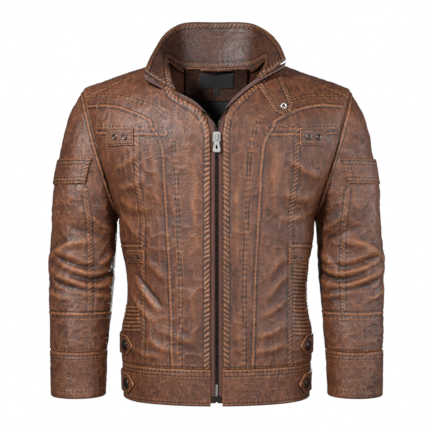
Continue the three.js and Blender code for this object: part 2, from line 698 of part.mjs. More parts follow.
piece("zip_pull", plate(tag, PULL).translate(0, pullY, PULL_EYE), nickel());

// Box at the bottom of the zip, under the ends of the teeth.
const ZIP_BOX = { width: 14, depth: 4, height: 10 };
const boxMid = ZIP_BOTTOM - ZIP_BOX.height / 2 - CLEAR * 2;
const zipBox = box(ZIP_BOX.width, ZIP_BOX.depth, ZIP_BOX.height, 0, FRONT_PLANE + LEATHER, boxMid);
piece("zip_box", zipBox, blackMetal());

// ---- Pieces that lie on the body ------------------------------------------------------------------------
// A round fitting turned about the outward normal at a place of the front; profile is [radius, height].
function turned(profile, surface, u, v, height, sides) {
  const geometry = new THREE.LatheGeometry(profile.map(([r, h]) => new THREE.Vector2(r, h)), sides);
  const normal = normalOf(surface, u, v);
  const turn = new THREE.Quaternion().setFromUnitVectors(new THREE.Vector3(0, 1, 0), normal);
  const foot = surface.at(u, v).addScaledVector(normal, height);
  geometry.applyQuaternion(turn).translate(foot.x, foot.y, foot.z);
  return shape(solid(geometry));
}

const eyeletProfile = (radius) => [
  [radius * 0.45, 0],
  [radius, 0],
  [radius * 0.92, EYELET_HEIGHT * 0.6],
  [radius * 0.7, EYELET_HEIGHT],
  [radius * 0.45, EYELET_HEIGHT * 0.7],
  [radius * 0.45, 0],
];
const CHEST_PATCH = { x: 164, z: 455, width: 46, height: 30, eyelet: 5.5, apart: 17 };
const SIDE_PATCH = { x: 139, z: 250, width: 30, height: 22, eyelet: 3.6, apart: 11 };
const patchOff = CLEAR + 0.6;
const eyeletOff = patchOff + PATCH + CLEAR;
for (const { sign, word } of SIDES)
  for (const [name, patch] of [["chest", CHEST_PATCH], ["side", SIDE_PATCH]]) {
    const across = steps(patch.x - patch.width / 2, patch.x + patch.width / 2, 6).map((x) => sign * x);
    const up = steps(patch.z - patch.height / 2, patch.z + patch.height / 2, 2);
    const badge = layer(frontByPlace, across, up, patchOff, patchOff + PATCH);
    piece(`${word}_${name}_patch`, badge, leather());
    for (const [place, side] of [["inner", -1], ["outer", 1]]) {
      const x = sign * (patch.x + (side * patch.apart) / 2);
      const eyelet = turned(eyeletProfile(patch.eyelet), frontByPlace, x, patch.z, eyeletOff, 12);
      piece(`${word}_${name}_eyelet_${place}`, eyelet, gunmetal());
    }
  }

// Waist tabs: sewn at the back, pointed at the front, and held by a domed button near the tip.
const buttonProfile = [
  [0, 0],
  [BUTTON_RADIUS, 0],
  [BUTTON_RADIUS, BUTTON_HEIGHT * 0.3],
  [BUTTON_RADIUS * 0.7, BUTTON_HEIGHT * 0.8],
  [0, BUTTON_HEIGHT],
];
const TAB_POINT = 8; // degrees taken by the pointed end
const tabOff = 1.2; // distance that a tab stands off the body
for (const { sign, word } of SIDES)
  for (const [level, mid] of [["upper", UPPER_TAB_MID], ["lower", LOWER_TAB_MID]]) {
    // u is the angle, v runs across the tab; the tip narrows to a point.
    const tab = {
      uRange: [-180, 180],
      vRange: [-1, 1],
      turn: 1,
      at(angle, v) {
        const toTip = THREE.MathUtils.clamp((Math.abs(angle) - TAB_TIP_ANGLE) / TAB_POINT, 0.12, 1);
        return ring.at(angle, mid + (v * TAB_HEIGHT * toTip) / 2);
      },
    };
    const fromTip = [0, 4, TAB_POINT, 16, 24, 32, 39, TAB_SEWN_ANGLE - TAB_TIP_ANGLE];
    const angles = fromTip.map((a) => sign * (TAB_TIP_ANGLE + a));
    piece(`${word}_${level}_waist_tab`, layer(tab, angles, [-1, 0, 1], tabOff, tabOff + TAB), leather());
    const buttonAngle = sign * (TAB_TIP_ANGLE + TAB_POINT + 1);
    piece(
      `${word}_${level}_waist_button`,
      turned(buttonProfile, ring, buttonAngle, mid, tabOff + TAB + CLEAR, 16),
      gunmetal(),
    );
  }

// Throat tab: hangs from under the left collar leaf, held by a snap.
const THROAT = { topX: 91, topZ: 551, tipX: 120, tipZ: 492, topWidth: 44, tipWidth: 32 };
const throatTab = {
  uRange: [0, 1],
  vRange: [-1, 1],
  turn: 1,
  at(u, v) {
    const length = Math.hypot(THROAT.tipX - THROAT.topX, THROAT.tipZ - THROAT.topZ);
    const half = ((THROAT.topWidth + (THROAT.tipWidth - THROAT.topWidth) * u) / 2) * v;
    const x = THROAT.topX + (THROAT.tipX - THROAT.topX) * u - ((THROAT.tipZ - THROAT.topZ) / length) * half;
    const z = THROAT.topZ + (THROAT.tipZ - THROAT.topZ) * u + ((THROAT.tipX - THROAT.topX) / length) * half;
    return front.at(...placeOf(x, z));
  },
};
const throatOff = 1; // distance that the throat tab stands off the body
const SNAP_RADIUS = 5.6;
const SNAP_PLACE = 0.76; // share of the tab's length
piece("throat_tab", layer(throatTab, steps(0, 1, 5), steps(-1, 1, 4), throatOff, throatOff + TAB), leather());
const snap = turned(eyeletProfile(SNAP_RADIUS), throatTab, SNAP_PLACE, 0, throatOff + TAB + CLEAR, 14);
piece("throat_snap", snap, nickel());

// ---- Hanger loop: a narrow strap along the back of the neck, where the jacket hangs ---------------------
const LOOP_HALF = 30;
const LOOP_ROOM = 5.1; // distance from the facing to the loop's ends
const LOOP_SLACK = 7; // how far its middle stands out further
const LOOP_Z = FACING_HIGH - 7;
const loopWall = (x) => backByPlace.at(x, LOOP_Z).y + facingTop - FACING - CLEAR * 2;
const loopLine = new THREE.CatmullRomCurve3(
  [-LOOP_HALF, -LOOP_HALF / 2, 0, LOOP_HALF / 2, LOOP_HALF].map((x) => {
    const lift = LOOP_SLACK * (1 - (x / LOOP_HALF) ** 2);
    return new THREE.Vector3(x, loopWall(x) - LOOP_ROOM - lift, LOOP_Z);
  }),
);
const strapCorners = [[-2.2, -0.8], [2.2, -0.8], [2.2, 0.8], [-2.2, 0.8]];
const loopSection = new THREE.Shape(strapCorners.map(([x, y]) => new THREE.Vector2(x, y)));
const loop = new THREE.ExtrudeGeometry(loopSection, { steps: 10, extrudePath: loopLine });
piece("hanger_loop", shape(solid(loop)), leather());

// The origin is the middle of the hanger loop.
const HANG = loopLine.getPoint(0.5);
const part = new THREE.Group();
jacket.position.set(0, -HANG.y, -HANG.z);
part.add(jacket);

export default part;
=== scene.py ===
"""Leather riding jacket: the fine surface of each piece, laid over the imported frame.

Shapes are worked out in millimetres, with heights counted from the hem and depths from the side seams,
and are moved into the frame's own metres when a mesh is made.
"""

import logging
import math
from dataclasses import dataclass, field
from enum import Enum
from typing import Iterable, Optional, Sequence, Union

import bpy
import numpy as np
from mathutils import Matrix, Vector


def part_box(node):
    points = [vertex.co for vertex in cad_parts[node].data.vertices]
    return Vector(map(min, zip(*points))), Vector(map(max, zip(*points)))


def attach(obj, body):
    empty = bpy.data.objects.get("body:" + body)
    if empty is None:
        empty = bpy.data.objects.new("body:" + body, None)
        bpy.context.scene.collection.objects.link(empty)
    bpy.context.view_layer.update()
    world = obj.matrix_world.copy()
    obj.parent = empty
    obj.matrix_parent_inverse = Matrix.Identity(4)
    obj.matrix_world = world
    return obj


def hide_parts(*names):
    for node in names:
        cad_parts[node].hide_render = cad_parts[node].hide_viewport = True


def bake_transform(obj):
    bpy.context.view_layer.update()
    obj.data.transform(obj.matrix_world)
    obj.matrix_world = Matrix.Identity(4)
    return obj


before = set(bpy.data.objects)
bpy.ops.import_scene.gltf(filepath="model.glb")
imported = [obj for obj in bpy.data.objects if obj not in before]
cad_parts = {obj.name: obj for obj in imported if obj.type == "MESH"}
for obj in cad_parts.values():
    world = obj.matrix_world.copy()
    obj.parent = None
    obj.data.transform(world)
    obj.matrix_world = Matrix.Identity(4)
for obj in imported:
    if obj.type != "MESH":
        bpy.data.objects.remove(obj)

LOG = logging.getLogger("jacket")
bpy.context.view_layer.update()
HEM_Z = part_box("back_waistband")[0].z
SEAM_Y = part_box("back_waistband")[0].y
MM = 0.001
RIGHT, LEFT = -1, 1
SIDES = ((RIGHT, "right"), (LEFT, "left"))
Grid = np.ndarray
Value = Union[bpy.types.NodeSocket, float, tuple]


# ---- Plain helpers ---------------------------------------------------------------------------------


def to_frame(points: Grid) -> Grid:
    """Turns points in millimetres from the hem into the frame's metres."""
    return points * MM + np.array([0.0, SEAM_Y, HEM_Z])


def smooth(t: Grid) -> Grid:
    """Eases a share from 0 to 1, flat at both ends."""
    t = np.clip(t, 0, 1)
    return t * t * t * (t * (t * 6 - 15) + 10)


def along(knots: Sequence[tuple[float, float]], t: Grid) -> Grid:
    """Value at t on an eased line through (place, value) pairs.

    Args:
        knots: pairs of a place and the value there, in order.
        t: the places to work out.

    Returns:
        The values at the places.
    """
    t = np.asarray(t, float)
    value = np.full(t.shape, float(knots[0][1]))
    for (t0, v0), (t1, v1) in zip(knots, knots[1:]):
        value = np.where(t > t0, v0 + (v1 - v0) * smooth((t - t0) / (t1 - t0)), value)
    return value


def unit(vectors: Grid) -> Grid:
    """The same directions, one long."""
    return vectors / np.maximum(np.linalg.norm(vectors, axis=-1, keepdims=True), 1e-9)


def curve_through(points: Sequence[Sequence[float]], step: float) -> Grid:
    """A smooth line through some points, with its own points about a step apart.

    Args:
        points: the points that the line passes, in two or three dimensions.
        step: the distance between the points that are returned.

    Returns:
        The line's points in order.
    """
    p = np.asarray(points, float)
    if len(p) > 2:
        ends = np.vstack([2 * p[0] - p[1], p, 2 * p[-1] - p[-2]])
        t = np.linspace(0, 1, 24, endpoint=False)[:, None]
        parts = []
        for a, b, c, d in zip(ends, ends[1:], ends[2:], ends[3:]):
            parts.append(0.5 * (2 * b + (c - a) * t + (2 * a - 5 * b + 4 * c - d) * t**2
                                + (3 * b - a - 3 * c + d) * t**3))
        p = np.vstack([*parts, p[-1:]])
    far = np.concatenate([[0], np.cumsum(np.linalg.norm(np.diff(p, axis=0), axis=1))])
    at = np.linspace(0, far[-1], max(2, int(far[-1] / step) + 1))
    return np.stack([np.interp(at, far, p[:, k]) for k in range(p.shape[1])], axis=1)


def noise(points: Grid, size: Sequence[float], seed: int) -> Grid:
    """Smooth noise from -1 to 1.

    Args:
        points: places, in millimetres.
        size: how long one swell is along X, Y and Z, in millimetres.
        seed: which noise it is.

    Returns:
        One value for each place.
    """
    q = points / np.asarray(size, float) + seed * 17.3
    low = np.floor(q).astype(np.int64)
    share = smooth(q - low)
    total = np.zeros(points.shape[:-1])
    for corner in range(8):
        step = np.array([corner & 1, corner >> 1 & 1, corner >> 2 & 1])
        i, j, k = np.moveaxis(low + step, -1, 0)
        h = (i * 374761393 + j * 668265263 + k * 2147483647 + seed * 1274126177) & 0xFFFFFFFF
        h = ((h ^ (h >> 13)) * 1274126177) & 0xFFFFFFFF
        value = ((h ^ (h >> 16)) & 0xFFFF) / 32767.5 - 1
        total += value * np.prod(np.where(step, share, 1 - share), axis=-1)
    return total


def crumple(points: Grid, size: Sequence[float], seed: int) -> Grid:
    """Sharp-crested creases from 0 to 1 that run along the longest of the three sizes."""
    warp = noise(points, np.asarray(size) * 1.7, seed + 5)[..., None] * np.asarray(size) * 0.35
    ridge = 1 - np.abs(noise(points + warp, size, seed))
    return ridge**3


# ---- Relief: what stands out of a surface, how it is worn, and where shade is painted into it ---------


@dataclass
class Relief:
    """Height in millimetres, and how worn and how dark each point is, from 0 to 1; the darkness holds dark thread and
    painted shade.
    """

    height: Grid
    wear: Grid
    dark: Grid

    def add(self, height: Grid, wear: Grid = 0.0, dark: Grid = 0.0) -> None:
        """Adds to all three."""
        self.height = self.height + height
        self.wear = self.wear + wear
        self.dark = self.dark + dark


def flat_relief(points: Grid) -> Relief:
    """Relief of nothing at all, for each of some points."""
    return Relief(*(np.zeros(points.shape[:-1]) for _ in range(3)))


def nearest_on(points: Grid, normals: Grid, line: Grid, reach: float) -> tuple[Grid, Grid, Grid]:
    """Measures points against a line that lies on their surface.

    Args:
        points: places on the surface.
        normals: its outward directions there.
        line: the line's points.
        reach: how far from the line it matters.

    Returns:
        For each point the distance, which is below zero on the line's right, the length along the line,
        and whether it is within reach.
    """
    shape = points.shape[:-1]
    p, n = points.reshape(-1, 3), normals.reshape(-1, 3)
    near = np.all((p > line.min(0) - reach) & (p < line.max(0) + reach), axis=1)
    away, far = np.full(len(p), 1e3), np.zeros(len(p))
    a, d = line[:-1], np.diff(line, axis=0)
    length = np.linalg.norm(d, axis=1)
    start = np.concatenate([[0], np.cumsum(length)])[:-1]
    ids = np.flatnonzero(near)
    for chunk in np.array_split(ids, max(1, len(ids) * len(a) // 3_000_000 + 1)):
        if not len(chunk):
            continue
        rel = p[chunk, None] - a[None]
        t = np.clip((rel * d).sum(2) / np.maximum(length**2, 1e-9), 0, 1)
        gap = rel - t[..., None] * d
        size = np.linalg.norm(gap, axis=2)
        best = size.argmin(1)
        row = np.arange(len(chunk))
        side = np.sign((np.cross(d[best], n[chunk]) * gap[row, best]).sum(1))
        away[chunk] = size[row, best] * np.where(side == 0, 1, side)
        far[chunk] = start[best] + t[row, best] * length[best]
    return away.reshape(shape), far.reshape(shape), (np.abs(away) < reach).reshape(shape)


class Sewing(Enum):
    """How a line is sewn."""

    LAPPED = "lapped"  # one edge folded over the other and topstitched
    GATHERED = "gathered"  # a narrow band whose leather is drawn into slanting puckers
    TWIN = "twin"  # two rows of thread
    SINGLE = "single"  # one row of thread


@dataclass(frozen=True)
class Seam:
    """A sewn line on a surface.

    Attributes:
        line: its points in millimetres.
        sewing: how it is sewn.
        side: on which side the folded edge lies, 1 or -1.
        pitch: distance between puckers, in millimetres.
        strength: how deep it is, where 1 is usual.
    """

    line: Grid
    sewing: Sewing
    side: int = 1
    pitch: float = 7.7
    strength: float = 1.0

    def press(self, relief: Relief, points: Grid, normals: Grid) -> None:
        """Presses the seam into a relief.

        Args:
            relief: the relief to press into.
            points: the sheet's points.
            normals: the way out of the sheet at each point.
        """
        away, far, near = nearest_on(points, normals, self.line, 20.0)
        d = away * self.side
        k = self.strength * near
        uneven = noise(points, (23, 23, 23), 7)
        pucker = 0.5 + 0.5 * np.cos(2 * math.pi * far / self.pitch + 2.2 * uneven)
        if self.sewing is Sewing.LAPPED:
            groove = np.exp(-((d / 1.0) ** 2))
            fold = np.exp(-(((d - 3.0) / 2.0) ** 2))
            thread = np.exp(-(((d - 7.0) / 0.8) ** 2))
            ripple = pucker * np.exp(-(((d - 3.2) / 3.4) ** 2))
            # The groove gets painted shade, the thread row is dark thread, and the fold's crest gets rubbed wear.
            relief.add(k * (0.8 * fold - 2.0 * groove - 0.7 * thread + 0.45 * ripple),
                       k * (0.10 * fold + 0.30 * fold * pucker), k * (1.4 * groove + 0.8 * thread))
        elif self.sewing is Sewing.GATHERED:
            slant = 0.5 + 0.5 * np.cos(2 * math.pi * (far + 0.75 * d) / self.pitch + 2.6 * uneven)
            band = np.exp(-((d / 4.4) ** 4))
            beside = np.exp(-(((np.abs(d) - 5.6) / 1.1) ** 2))
            middle = np.exp(-((d / 0.8) ** 2))
            height = band * (2.0 * slant - 0.5) - 1.3 * beside - 0.8 * middle
            # dark is painted shade in the pucker valleys and in the grooves beside the band, plus a dark middle line;
            # the pucker crests get rubbed wear.
            dark = 0.75 * band * (1 - slant) ** 2 + 0.9 * beside + 0.5 * middle
            relief.add(k * height, k * 0.62 * band * slant**1.8, k * dark)
        else:
            rows = (-2.6, 2.6) if self.sewing is Sewing.TWIN else (0.0,)
            for row in rows:
                thread = np.exp(-(((d - row) / 0.9) ** 2))
                ripple = pucker * np.exp(-(((d - row) / 2.4) ** 2))
                relief.add(k * (0.6 * ripple - 0.9 * thread), k * 0.50 * ripple * (1 - thread), k * 1.1 * thread)


@dataclass(frozen=True)
class Fold:
    """A fold that the leather has taken: a crest (or a valley, below zero) along a line."""

    line: Grid
    width: float
    height: float

    def press(self, relief: Relief, points: Grid, normals: Grid) -> None:
        """Presses the fold into a relief, fading at its ends.

        Args:
            relief: the relief to press into.
            points: the sheet's points.
            normals: the way out of the sheet at each point.
        """
        away, far, near = nearest_on(points, normals, self.line, 3.2 * self.width)
        length = np.linalg.norm(np.diff(self.line, axis=0), axis=1).sum()
        fade = np.sqrt(np.clip(np.sin(math.pi * np.clip(far / length, 0, 1)), 0, 1)) * near
        crest = np.exp(-((away / self.width) ** 2)) * fade
        sharp = np.exp(-((away / (0.4 * self.width)) ** 2)) * fade
        # Crests get rubbed wear; valleys get painted shade.
        relief.add(self.height * crest, np.where(self.height > 0, 0.16 * sharp, 0),
                   np.where(self.height < 0, 0.22 * sharp, 0))


# ---- The surfaces of the body, the sleeves and the collar ----------------------------------------------


@dataclass(frozen=True)
class BodyShape:
    """The body's outer surface, with the sizes that the solids have."""

    hem: float = 166
    hip: float = 169
    waist: float = 159
    chest: float = 174
    shoulder: float = 237
    neck: float = 88
    hip_z: float = 105
    waist_z: float = 180
    armpit_z: float = 320
    mid_z: float = 435
    shoulder_z: float = 549
    neck_z: float = 600
    front: float = 140
    back_hem: float = 120
    back_waist: float = 104
    back_chest: float = 114
    armhole: float = 70

    def half_width(self, z: Grid) -> Grid:
        """Half width at a height: the side seam below the armpit, the slanted armhole above it."""
        knots = ((0, self.hem), (self.hip_z, self.hip), (self.waist_z, self.waist), (self.armpit_z, self.chest))
        share = np.clip((z - self.armpit_z) / (self.shoulder_z - self.armpit_z), 0, 1)
        return along(knots, np.minimum(z, self.armpit_z)) + (self.shoulder - self.chest) * share

    def shoulder_line(self, x: Grid) -> Grid:
        """Height of the shoulder at a distance from the middle."""
        slope = (self.neck_z - self.shoulder_z) / (self.shoulder - self.neck)
        return self.shoulder_z + (self.shoulder - np.abs(x)) * slope

    def at(self, u: Grid, v: Grid, face: int) -> Grid:
        """Points of the front (face -1) or the back (face 1).

        Args:
            u: from -1 at the right side seam to 1 at the left.
            v: 0 at the hem, 1 at the middle of the armhole, 2 on the shoulder.
            face: which half.

        Returns:
            The points, in millimetres.
        """
        swing = u * math.pi / 2
        over = v > 1
        rise = np.where(over, np.sin(np.clip(v - 1, 0, 1) * math.pi / 2), 0)
        top = self.shoulder_line(self.shoulder * np.sin(swing))
        z = np.where(over, self.mid_z + (top - self.mid_z) * rise, v * self.mid_z)
        share = np.clip((z - self.armpit_z) / (self.mid_z - self.armpit_z), 0, 1)
        hole = np.where(over, self.armhole, self.armhole * np.sqrt(1 - (1 - share) ** 2))
        backs = ((0, self.back_hem), (self.waist_z, self.back_waist), (self.mid_z, self.back_chest))
        full = self.front if face < 0 else along(backs, z)
        depth = np.sqrt(hole**2 + (full**2 - hole**2) * np.maximum(np.cos(swing), 0) ** 1.5)
        y = face * depth * np.sqrt(np.clip(1 - rise**2, 0, 1))
        return np.stack([self.half_width(z) * np.sin(swing), y, z], axis=-1)

    def place_of(self, x: Grid, z: Grid) -> tuple[Grid, Grid]:
        """The u and v of a point of the body that is given by X and Z.

        Args:
            x: distances from the middle.
            z: heights from the hem.

        Returns:
            The two parameters of each point.
        """
        x, z = np.asarray(x, float), np.asarray(z, float)
        u = np.arcsin(np.clip(x / self.half_width(z), -1, 1)) / (math.pi / 2)
        top = self.shoulder_line(self.shoulder * np.sin(u * math.pi / 2))
        rise = np.clip((z - self.mid_z) / (top - self.mid_z), 0, 1)
        return u, np.where(z > self.mid_z, 1 + np.arcsin(rise) / (math.pi / 2), z / self.mid_z)

    def on_front(self, points: Sequence[Sequence[float]], face: int = -1, step: float = 2.0) -> Grid:
        """A line on the front (or back) through points that are given by X and Z."""
        flat = curve_through(points, step)
        return self.at(*self.place_of(flat[:, 0], flat[:, 1]), face)


BODY = BodyShape()


@dataclass(frozen=True)
class SleeveShape:
    """The sleeve's outer surface: each ring is an ellipse, from its inner to its outer point."""

    rings: tuple = (
        (174, 320, 237, 549, 70, 0), (176, 317, 262, 503, 70, 1), (177, 313, 279, 437, 69, 3),
        (179, 306, 291, 370, 67, 5), (180, 290, 294, 312, 65, 6), (181, 264, 297, 268, 63, 7),
        (182, 235, 299, 235, 62, 8), (185, 190, 298, 190, 60, 14), (189, 140, 295, 140, 56, 26),
        (193, 85, 293, 85, 52, 38), (195, 6, 290, 6, 50, 48))

    def at(self, u: Grid, v: Grid, sign: int) -> Grid:
        """Points of a sleeve.

        Args:
            u: degrees round it, from the armpit to the front.
            v: counts the rings from the armhole to the cuff's end.
            sign: which sleeve.

        Returns:
            The points, in millimetres.
        """
        table = np.array(self.rings, float)
        ends = np.vstack([2 * table[0] - table[1], table, 2 * table[-1] - table[-2]])
        low = np.clip(np.floor(v).astype(int), 0, len(table) - 2)
        t = (v - low)[..., None]
        a, b, c, d = (ends[low + k] for k in range(4))
        mix = 0.5 * (2 * b + (c - a) * t + (2 * a - 5 * b + 4 * c - d) * t**2 + (3 * b - a - 3 * c + d) * t**3)
        xi, zi, xo, zo, depth, forward = np.moveaxis(mix, -1, 0)
        lean = -np.cos(np.radians(u))
        x = (xi + xo) / 2 + lean * (xo - xi) / 2
        z = (zi + zo) / 2 + lean * (zo - zi) / 2
        return np.stack([sign * x, -forward - depth * np.sin(np.radians(u)), z], axis=-1)


SLEEVE = SleeveShape()


@dataclass(frozen=True)
class CollarShape:
    """The collar's middle surface between the neck seam and its free edge."""

    base: tuple = ((-72, -112, 534), (-80, -92, 560), (-88, -2, 600), (-62, 52, 589), (0, 72, 586.5),
                   (62, 52, 589), (88, -2, 600), (82, -82, 575), (71, -106, 557))
    top: tuple = ((-125, -97, 567), (-114, -52, 603), (-94, 4, 646), (-62, 54, 676), (0, 68, 680),
                  (62, 54, 676), (94, 4, 650), (111, -46, 622), (120, -87, 590))
    belly: float = 2.0

    def at(self, u: Grid, v: Grid) -> Grid:
        """A grid of points: a column for each share u round the collar from the right tip, a row for each v up."""
        low, high = (curve_by_knots(points, u)[None] for points in (self.base, self.top))
        belly = np.sin(math.pi * np.clip(v, 0, 1))[:, None, None] * unit(low * [1, 1, 0])
        return low + (high - low) * v[:, None, None] + self.belly * belly


def curve_by_knots(points: Sequence[Sequence[float]], u: Grid) -> Grid:
    """Centripetal curve through points, at shares u that count the points evenly.

    Args:
        points: the points that the curve goes through.
        u: shares of the way, from 0 to 1.

    Returns:
        A point of the curve for each share.
    """
    p = np.asarray(points, float)
    ends = np.vstack([2 * p[0] - p[1], p, 2 * p[-1] - p[-2]])
    place = np.clip(u, 0, 1) * (len(p) - 1)
    low = np.clip(place.astype(int), 0, len(p) - 2)
    t = (place - low)[:, None]
    p0, p1, p2, p3 = (ends[low + k] for k in range(4))
    g1, g2, g3 = (np.sqrt(np.linalg.norm(b - a, axis=1, keepdims=True)) for a, b in ((p0, p1), (p1, p2), (p2, p3)))
    t1 = (p1 - p0) / g1 - (p2 - p0) / (g1 + g2) + (p2 - p1) / g2
    t2 = (p2 - p1) / g2 - (p3 - p1) / (g2 + g3) + (p3 - p2) / g3
    m1, m2 = t1 * g2, t2 * g2
    return ((2 * t**3 - 3 * t**2 + 1) * p1 + (t**3 - 2 * t**2 + t) * m1
            + (3 * t**2 - 2 * t**3) * p2 + (t**3 - t**2) * m2)


COLLAR = CollarShape()


# ---- Meshes -----------------------------------------------------------------------------------------------


def normals_of(points: Grid, outward: int, closed: bool = False) -> Grid:
    """Outward directions of a grid of points; outward is 1 or -1 for which way it is wound.

    Args:
        points: a grid of points.
        outward: 1 or -1, for which way the grid is wound.
        closed: whether the last column meets the first.

    Returns:
        A direction for each point.
    """
    du = np.gradient(points, axis=1)
    if closed:
        du = np.roll(points, -1, axis=1) - np.roll(points, 1, axis=1)
    dv = np.gradient(points, axis=0)
    return unit(np.cross(du, dv)) * outward


def build(
    name: str, points: Grid, faces: list, finish: bpy.types.Material, marks: Optional[dict] = None,
) -> bpy.types.Object:
    """Makes a mesh object.

    Args:
        name: the piece's name.
        points: its points, in millimetres.
        faces: its faces, as lists of point numbers.
        finish: its material.
        marks: values for each point that the material reads.

    Returns:
        The new object.
    """
    mesh = bpy.data.meshes.new(name)
    mesh.from_pydata(to_frame(np.asarray(points, float)).tolist(), [], faces)
    mesh.polygons.foreach_set("use_smooth", np.ones(len(mesh.polygons), bool))
    for key, values in (marks or {}).items():
        layer = mesh.attributes.new(key, "FLOAT", "POINT")
        layer.data.foreach_set("value", np.clip(values, 0, 1).astype(np.float32).ravel())
    mesh.materials.append(finish)
    mesh.update()
    piece = bpy.data.objects.new(name, mesh)
    bpy.context.scene.collection.objects.link(piece)
    return piece


def grid_faces(rows: int, columns: int, closed: bool, start: int = 0, flip: bool = False) -> list:
    """Quads of a grid of points; closed joins the last column to the first.

    Args:
        rows: how many rows the grid has.
        columns: how many columns it has.
        closed: whether the last column meets the first.
        start: the number of its first point.
        flip: whether the faces are turned round.

    Returns:
        The faces, as lists of point numbers.
    """
    last = columns if closed else columns - 1
    r, c = np.meshgrid(np.arange(rows - 1), np.arange(last), indexing="ij")
    n = (c + 1) % columns
    quads = np.stack([r * columns + c, r * columns + n, (r + 1) * columns + n, (r + 1) * columns + c], axis=-1)
    quads = quads.reshape(-1, 4) + start
    return (quads[:, ::-1] if flip else quads).tolist()


def rim_faces(rows: int, columns: int, closed: bool) -> list:
    """Quads that join the edges of an outer grid to those of the inner grid that follows it.

    Args:
        rows: how many rows each grid has.
        columns: how many columns each has.
        closed: whether the last column meets the first.

    Returns:
        The faces, as lists of point numbers.
    """
    inner = rows * columns
    top = [(rows - 1) * columns + c for c in range(columns)]
    bottom = list(range(columns))
    if closed:
        top, bottom = top + top[:1], bottom + bottom[:1]
        loops = [bottom, top[::-1]]
    else:
        right = [r * columns + columns - 1 for r in range(rows)]
        left = [r * columns for r in range(rows)]
        loops = [bottom + right[1:] + top[::-1][1:] + left[::-1][1:]]
    return [[b, a, a + inner, b + inner] for loop in loops for a, b in zip(loop, loop[1:])]


@dataclass
class Sheet:
    """A grid of points with its outward normals and its relief, from which pieces are made.

    Attributes:
        base: rows of points, in millimetres.
        outward: 1 or -1, for which way the grid is wound.
        closed: whether the last column joins the first.
        lift: how far the outer face lies off the base.
    """

    base: Grid
    outward: int
    closed: bool = False
    lift: float = 0.0
    normals: Grid = field(init=False)
    relief: Relief = field(init=False)

    def __post_init__(self) -> None:
        """Works out the way out of the sheet and starts a flat relief."""
        self.normals = normals_of(self.base, self.outward, self.closed)
        self.relief = flat_relief(self.base)

    def press(self, marks: Iterable) -> "Sheet":
        """Presses seams and folds into the relief."""
        for mark in marks:
            mark.press(self.relief, self.base, self.normals)
        return self

    def with_wear_and_painted_shade(self, reach: int = 3, strength: float = 0.9) -> Relief:
        """The relief, with painted shade where it lies low and rubbed wear where it stands up.

        Args:
            reach: how many times the relief is blurred before it is compared.
            strength: how strongly it shows.

        Returns:
            The relief with that added.
        """
        mean = self.relief.height
        for _ in range(reach):
            for axis in (0, 1):
                padded = np.pad(mean, [(2, 2) if k == axis else (0, 0) for k in (0, 1)], mode="edge")
                size = mean.shape[axis]
                mean = sum(np.take(padded, np.arange(i, i + size), axis) for i in range(5)) / 5
        above = self.relief.height - mean
        worn = np.clip(above - 0.12, 0, 0.8)
        # Painted shade in the hollows, where the relief lies below its blurred mean.
        painted_hollow_shade = np.clip(-above - 0.04, 0, 0.9)
        wear, dark = self.relief.wear + strength * 0.30 * worn, self.relief.dark + strength * 0.85 * painted_hollow_shade
        return Relief(self.relief.height, wear, dark)

    def creased(self, height: float, size: Sequence[float], seed: int) -> "Sheet":
        """Adds the fine creases and the slow swells that worn leather has."""
        fine = crumple(self.base, size, seed)
        slow = noise(self.base, np.asarray(size) * 3.5, seed + 9)
        self.relief.add(height * fine + 1.3 * height * slow, 0.22 * np.clip(fine - 0.6, 0, 1), 0.0)
        return self

    def piece(
        self, name: str, finish: bpy.types.Material, thick: float, rows: slice = slice(None),
        round_low: bool = True, round_high: bool = True, edge: float = 1.8,
    ) -> bpy.types.Object:
        """Makes a closed layer of some of the rows.

        Args:
            name: the piece's name.
            finish: its material.
            thick: how thick the layer is, in millimetres.
            rows: which rows it has.
            round_low: whether its first row is a free edge.
            round_high: whether its last row is a free edge.
            edge: radius of the free edges.

        Returns:
            The new object.
        """
        base, normals = self.base[rows], self.normals[rows]
        relief = self.with_wear_and_painted_shade()
        height, wear, dark = (part[rows] for part in (relief.height, relief.wear, relief.dark))
        count, columns = base.shape[:2]
        down = np.linalg.norm(np.diff(base, axis=0), axis=2)
        down = np.concatenate([np.zeros((1, columns)), np.cumsum(down, axis=0)])
        near = np.full((count, columns), 1e3)
        if round_low:
            near = np.minimum(near, down)
        if round_high:
            near = np.minimum(near, down[-1:] - down)
        if not self.closed:
            over = np.linalg.norm(np.diff(base, axis=1), axis=2)
            over = np.concatenate([np.zeros((count, 1)), np.cumsum(over, axis=1)], axis=1)
            near = np.minimum(near, np.minimum(over, over[:, -1:] - over))
        share = np.clip(near / edge, 0, 1)
        top = self.lift + height - edge * 0.8 * (1 - np.sqrt(1 - (1 - share) ** 2))
        outer = base + normals * top[..., None]
        inner = base + normals * np.minimum(self.lift - thick, top - 0.4)[..., None]
        points = np.concatenate([outer.reshape(-1, 3), inner.reshape(-1, 3)])
        flip = self.outward < 0
        size = count * columns
        faces = grid_faces(count, columns, self.closed, 0, flip)
        faces += grid_faces(count, columns, self.closed, size, not flip)
        rims = rim_faces(count, columns, self.closed)
        faces += [face[::-1] for face in rims] if flip else rims
        # wear is rubbed leather on crests and free edges; dark is dark thread plus painted shade in grooves, valleys
        # and hollows, and a flat 0.2 on the inner face.
        marks = {"wear": np.concatenate([(wear + 0.42 * (1 - share)).ravel(), np.zeros(size)]),
                 "dark": np.concatenate([dark.ravel(), np.full(size, 0.2)])}
        LOG.info("%s: %d points", name, len(points))
        return build(name, points, faces, finish, marks)


# ---- Finishes -----------------------------------------------------------------------------------------


def linear(colour: Sequence[int]) -> tuple[float, float, float, float]:
    """A colour for a shader, from the 0 to 255 that a screen shows."""
    share = [c / 255 for c in colour]
    return (*(c / 12.92 if c < 0.04045 else ((c + 0.055) / 1.055) ** 2.4 for c in share), 1.0)


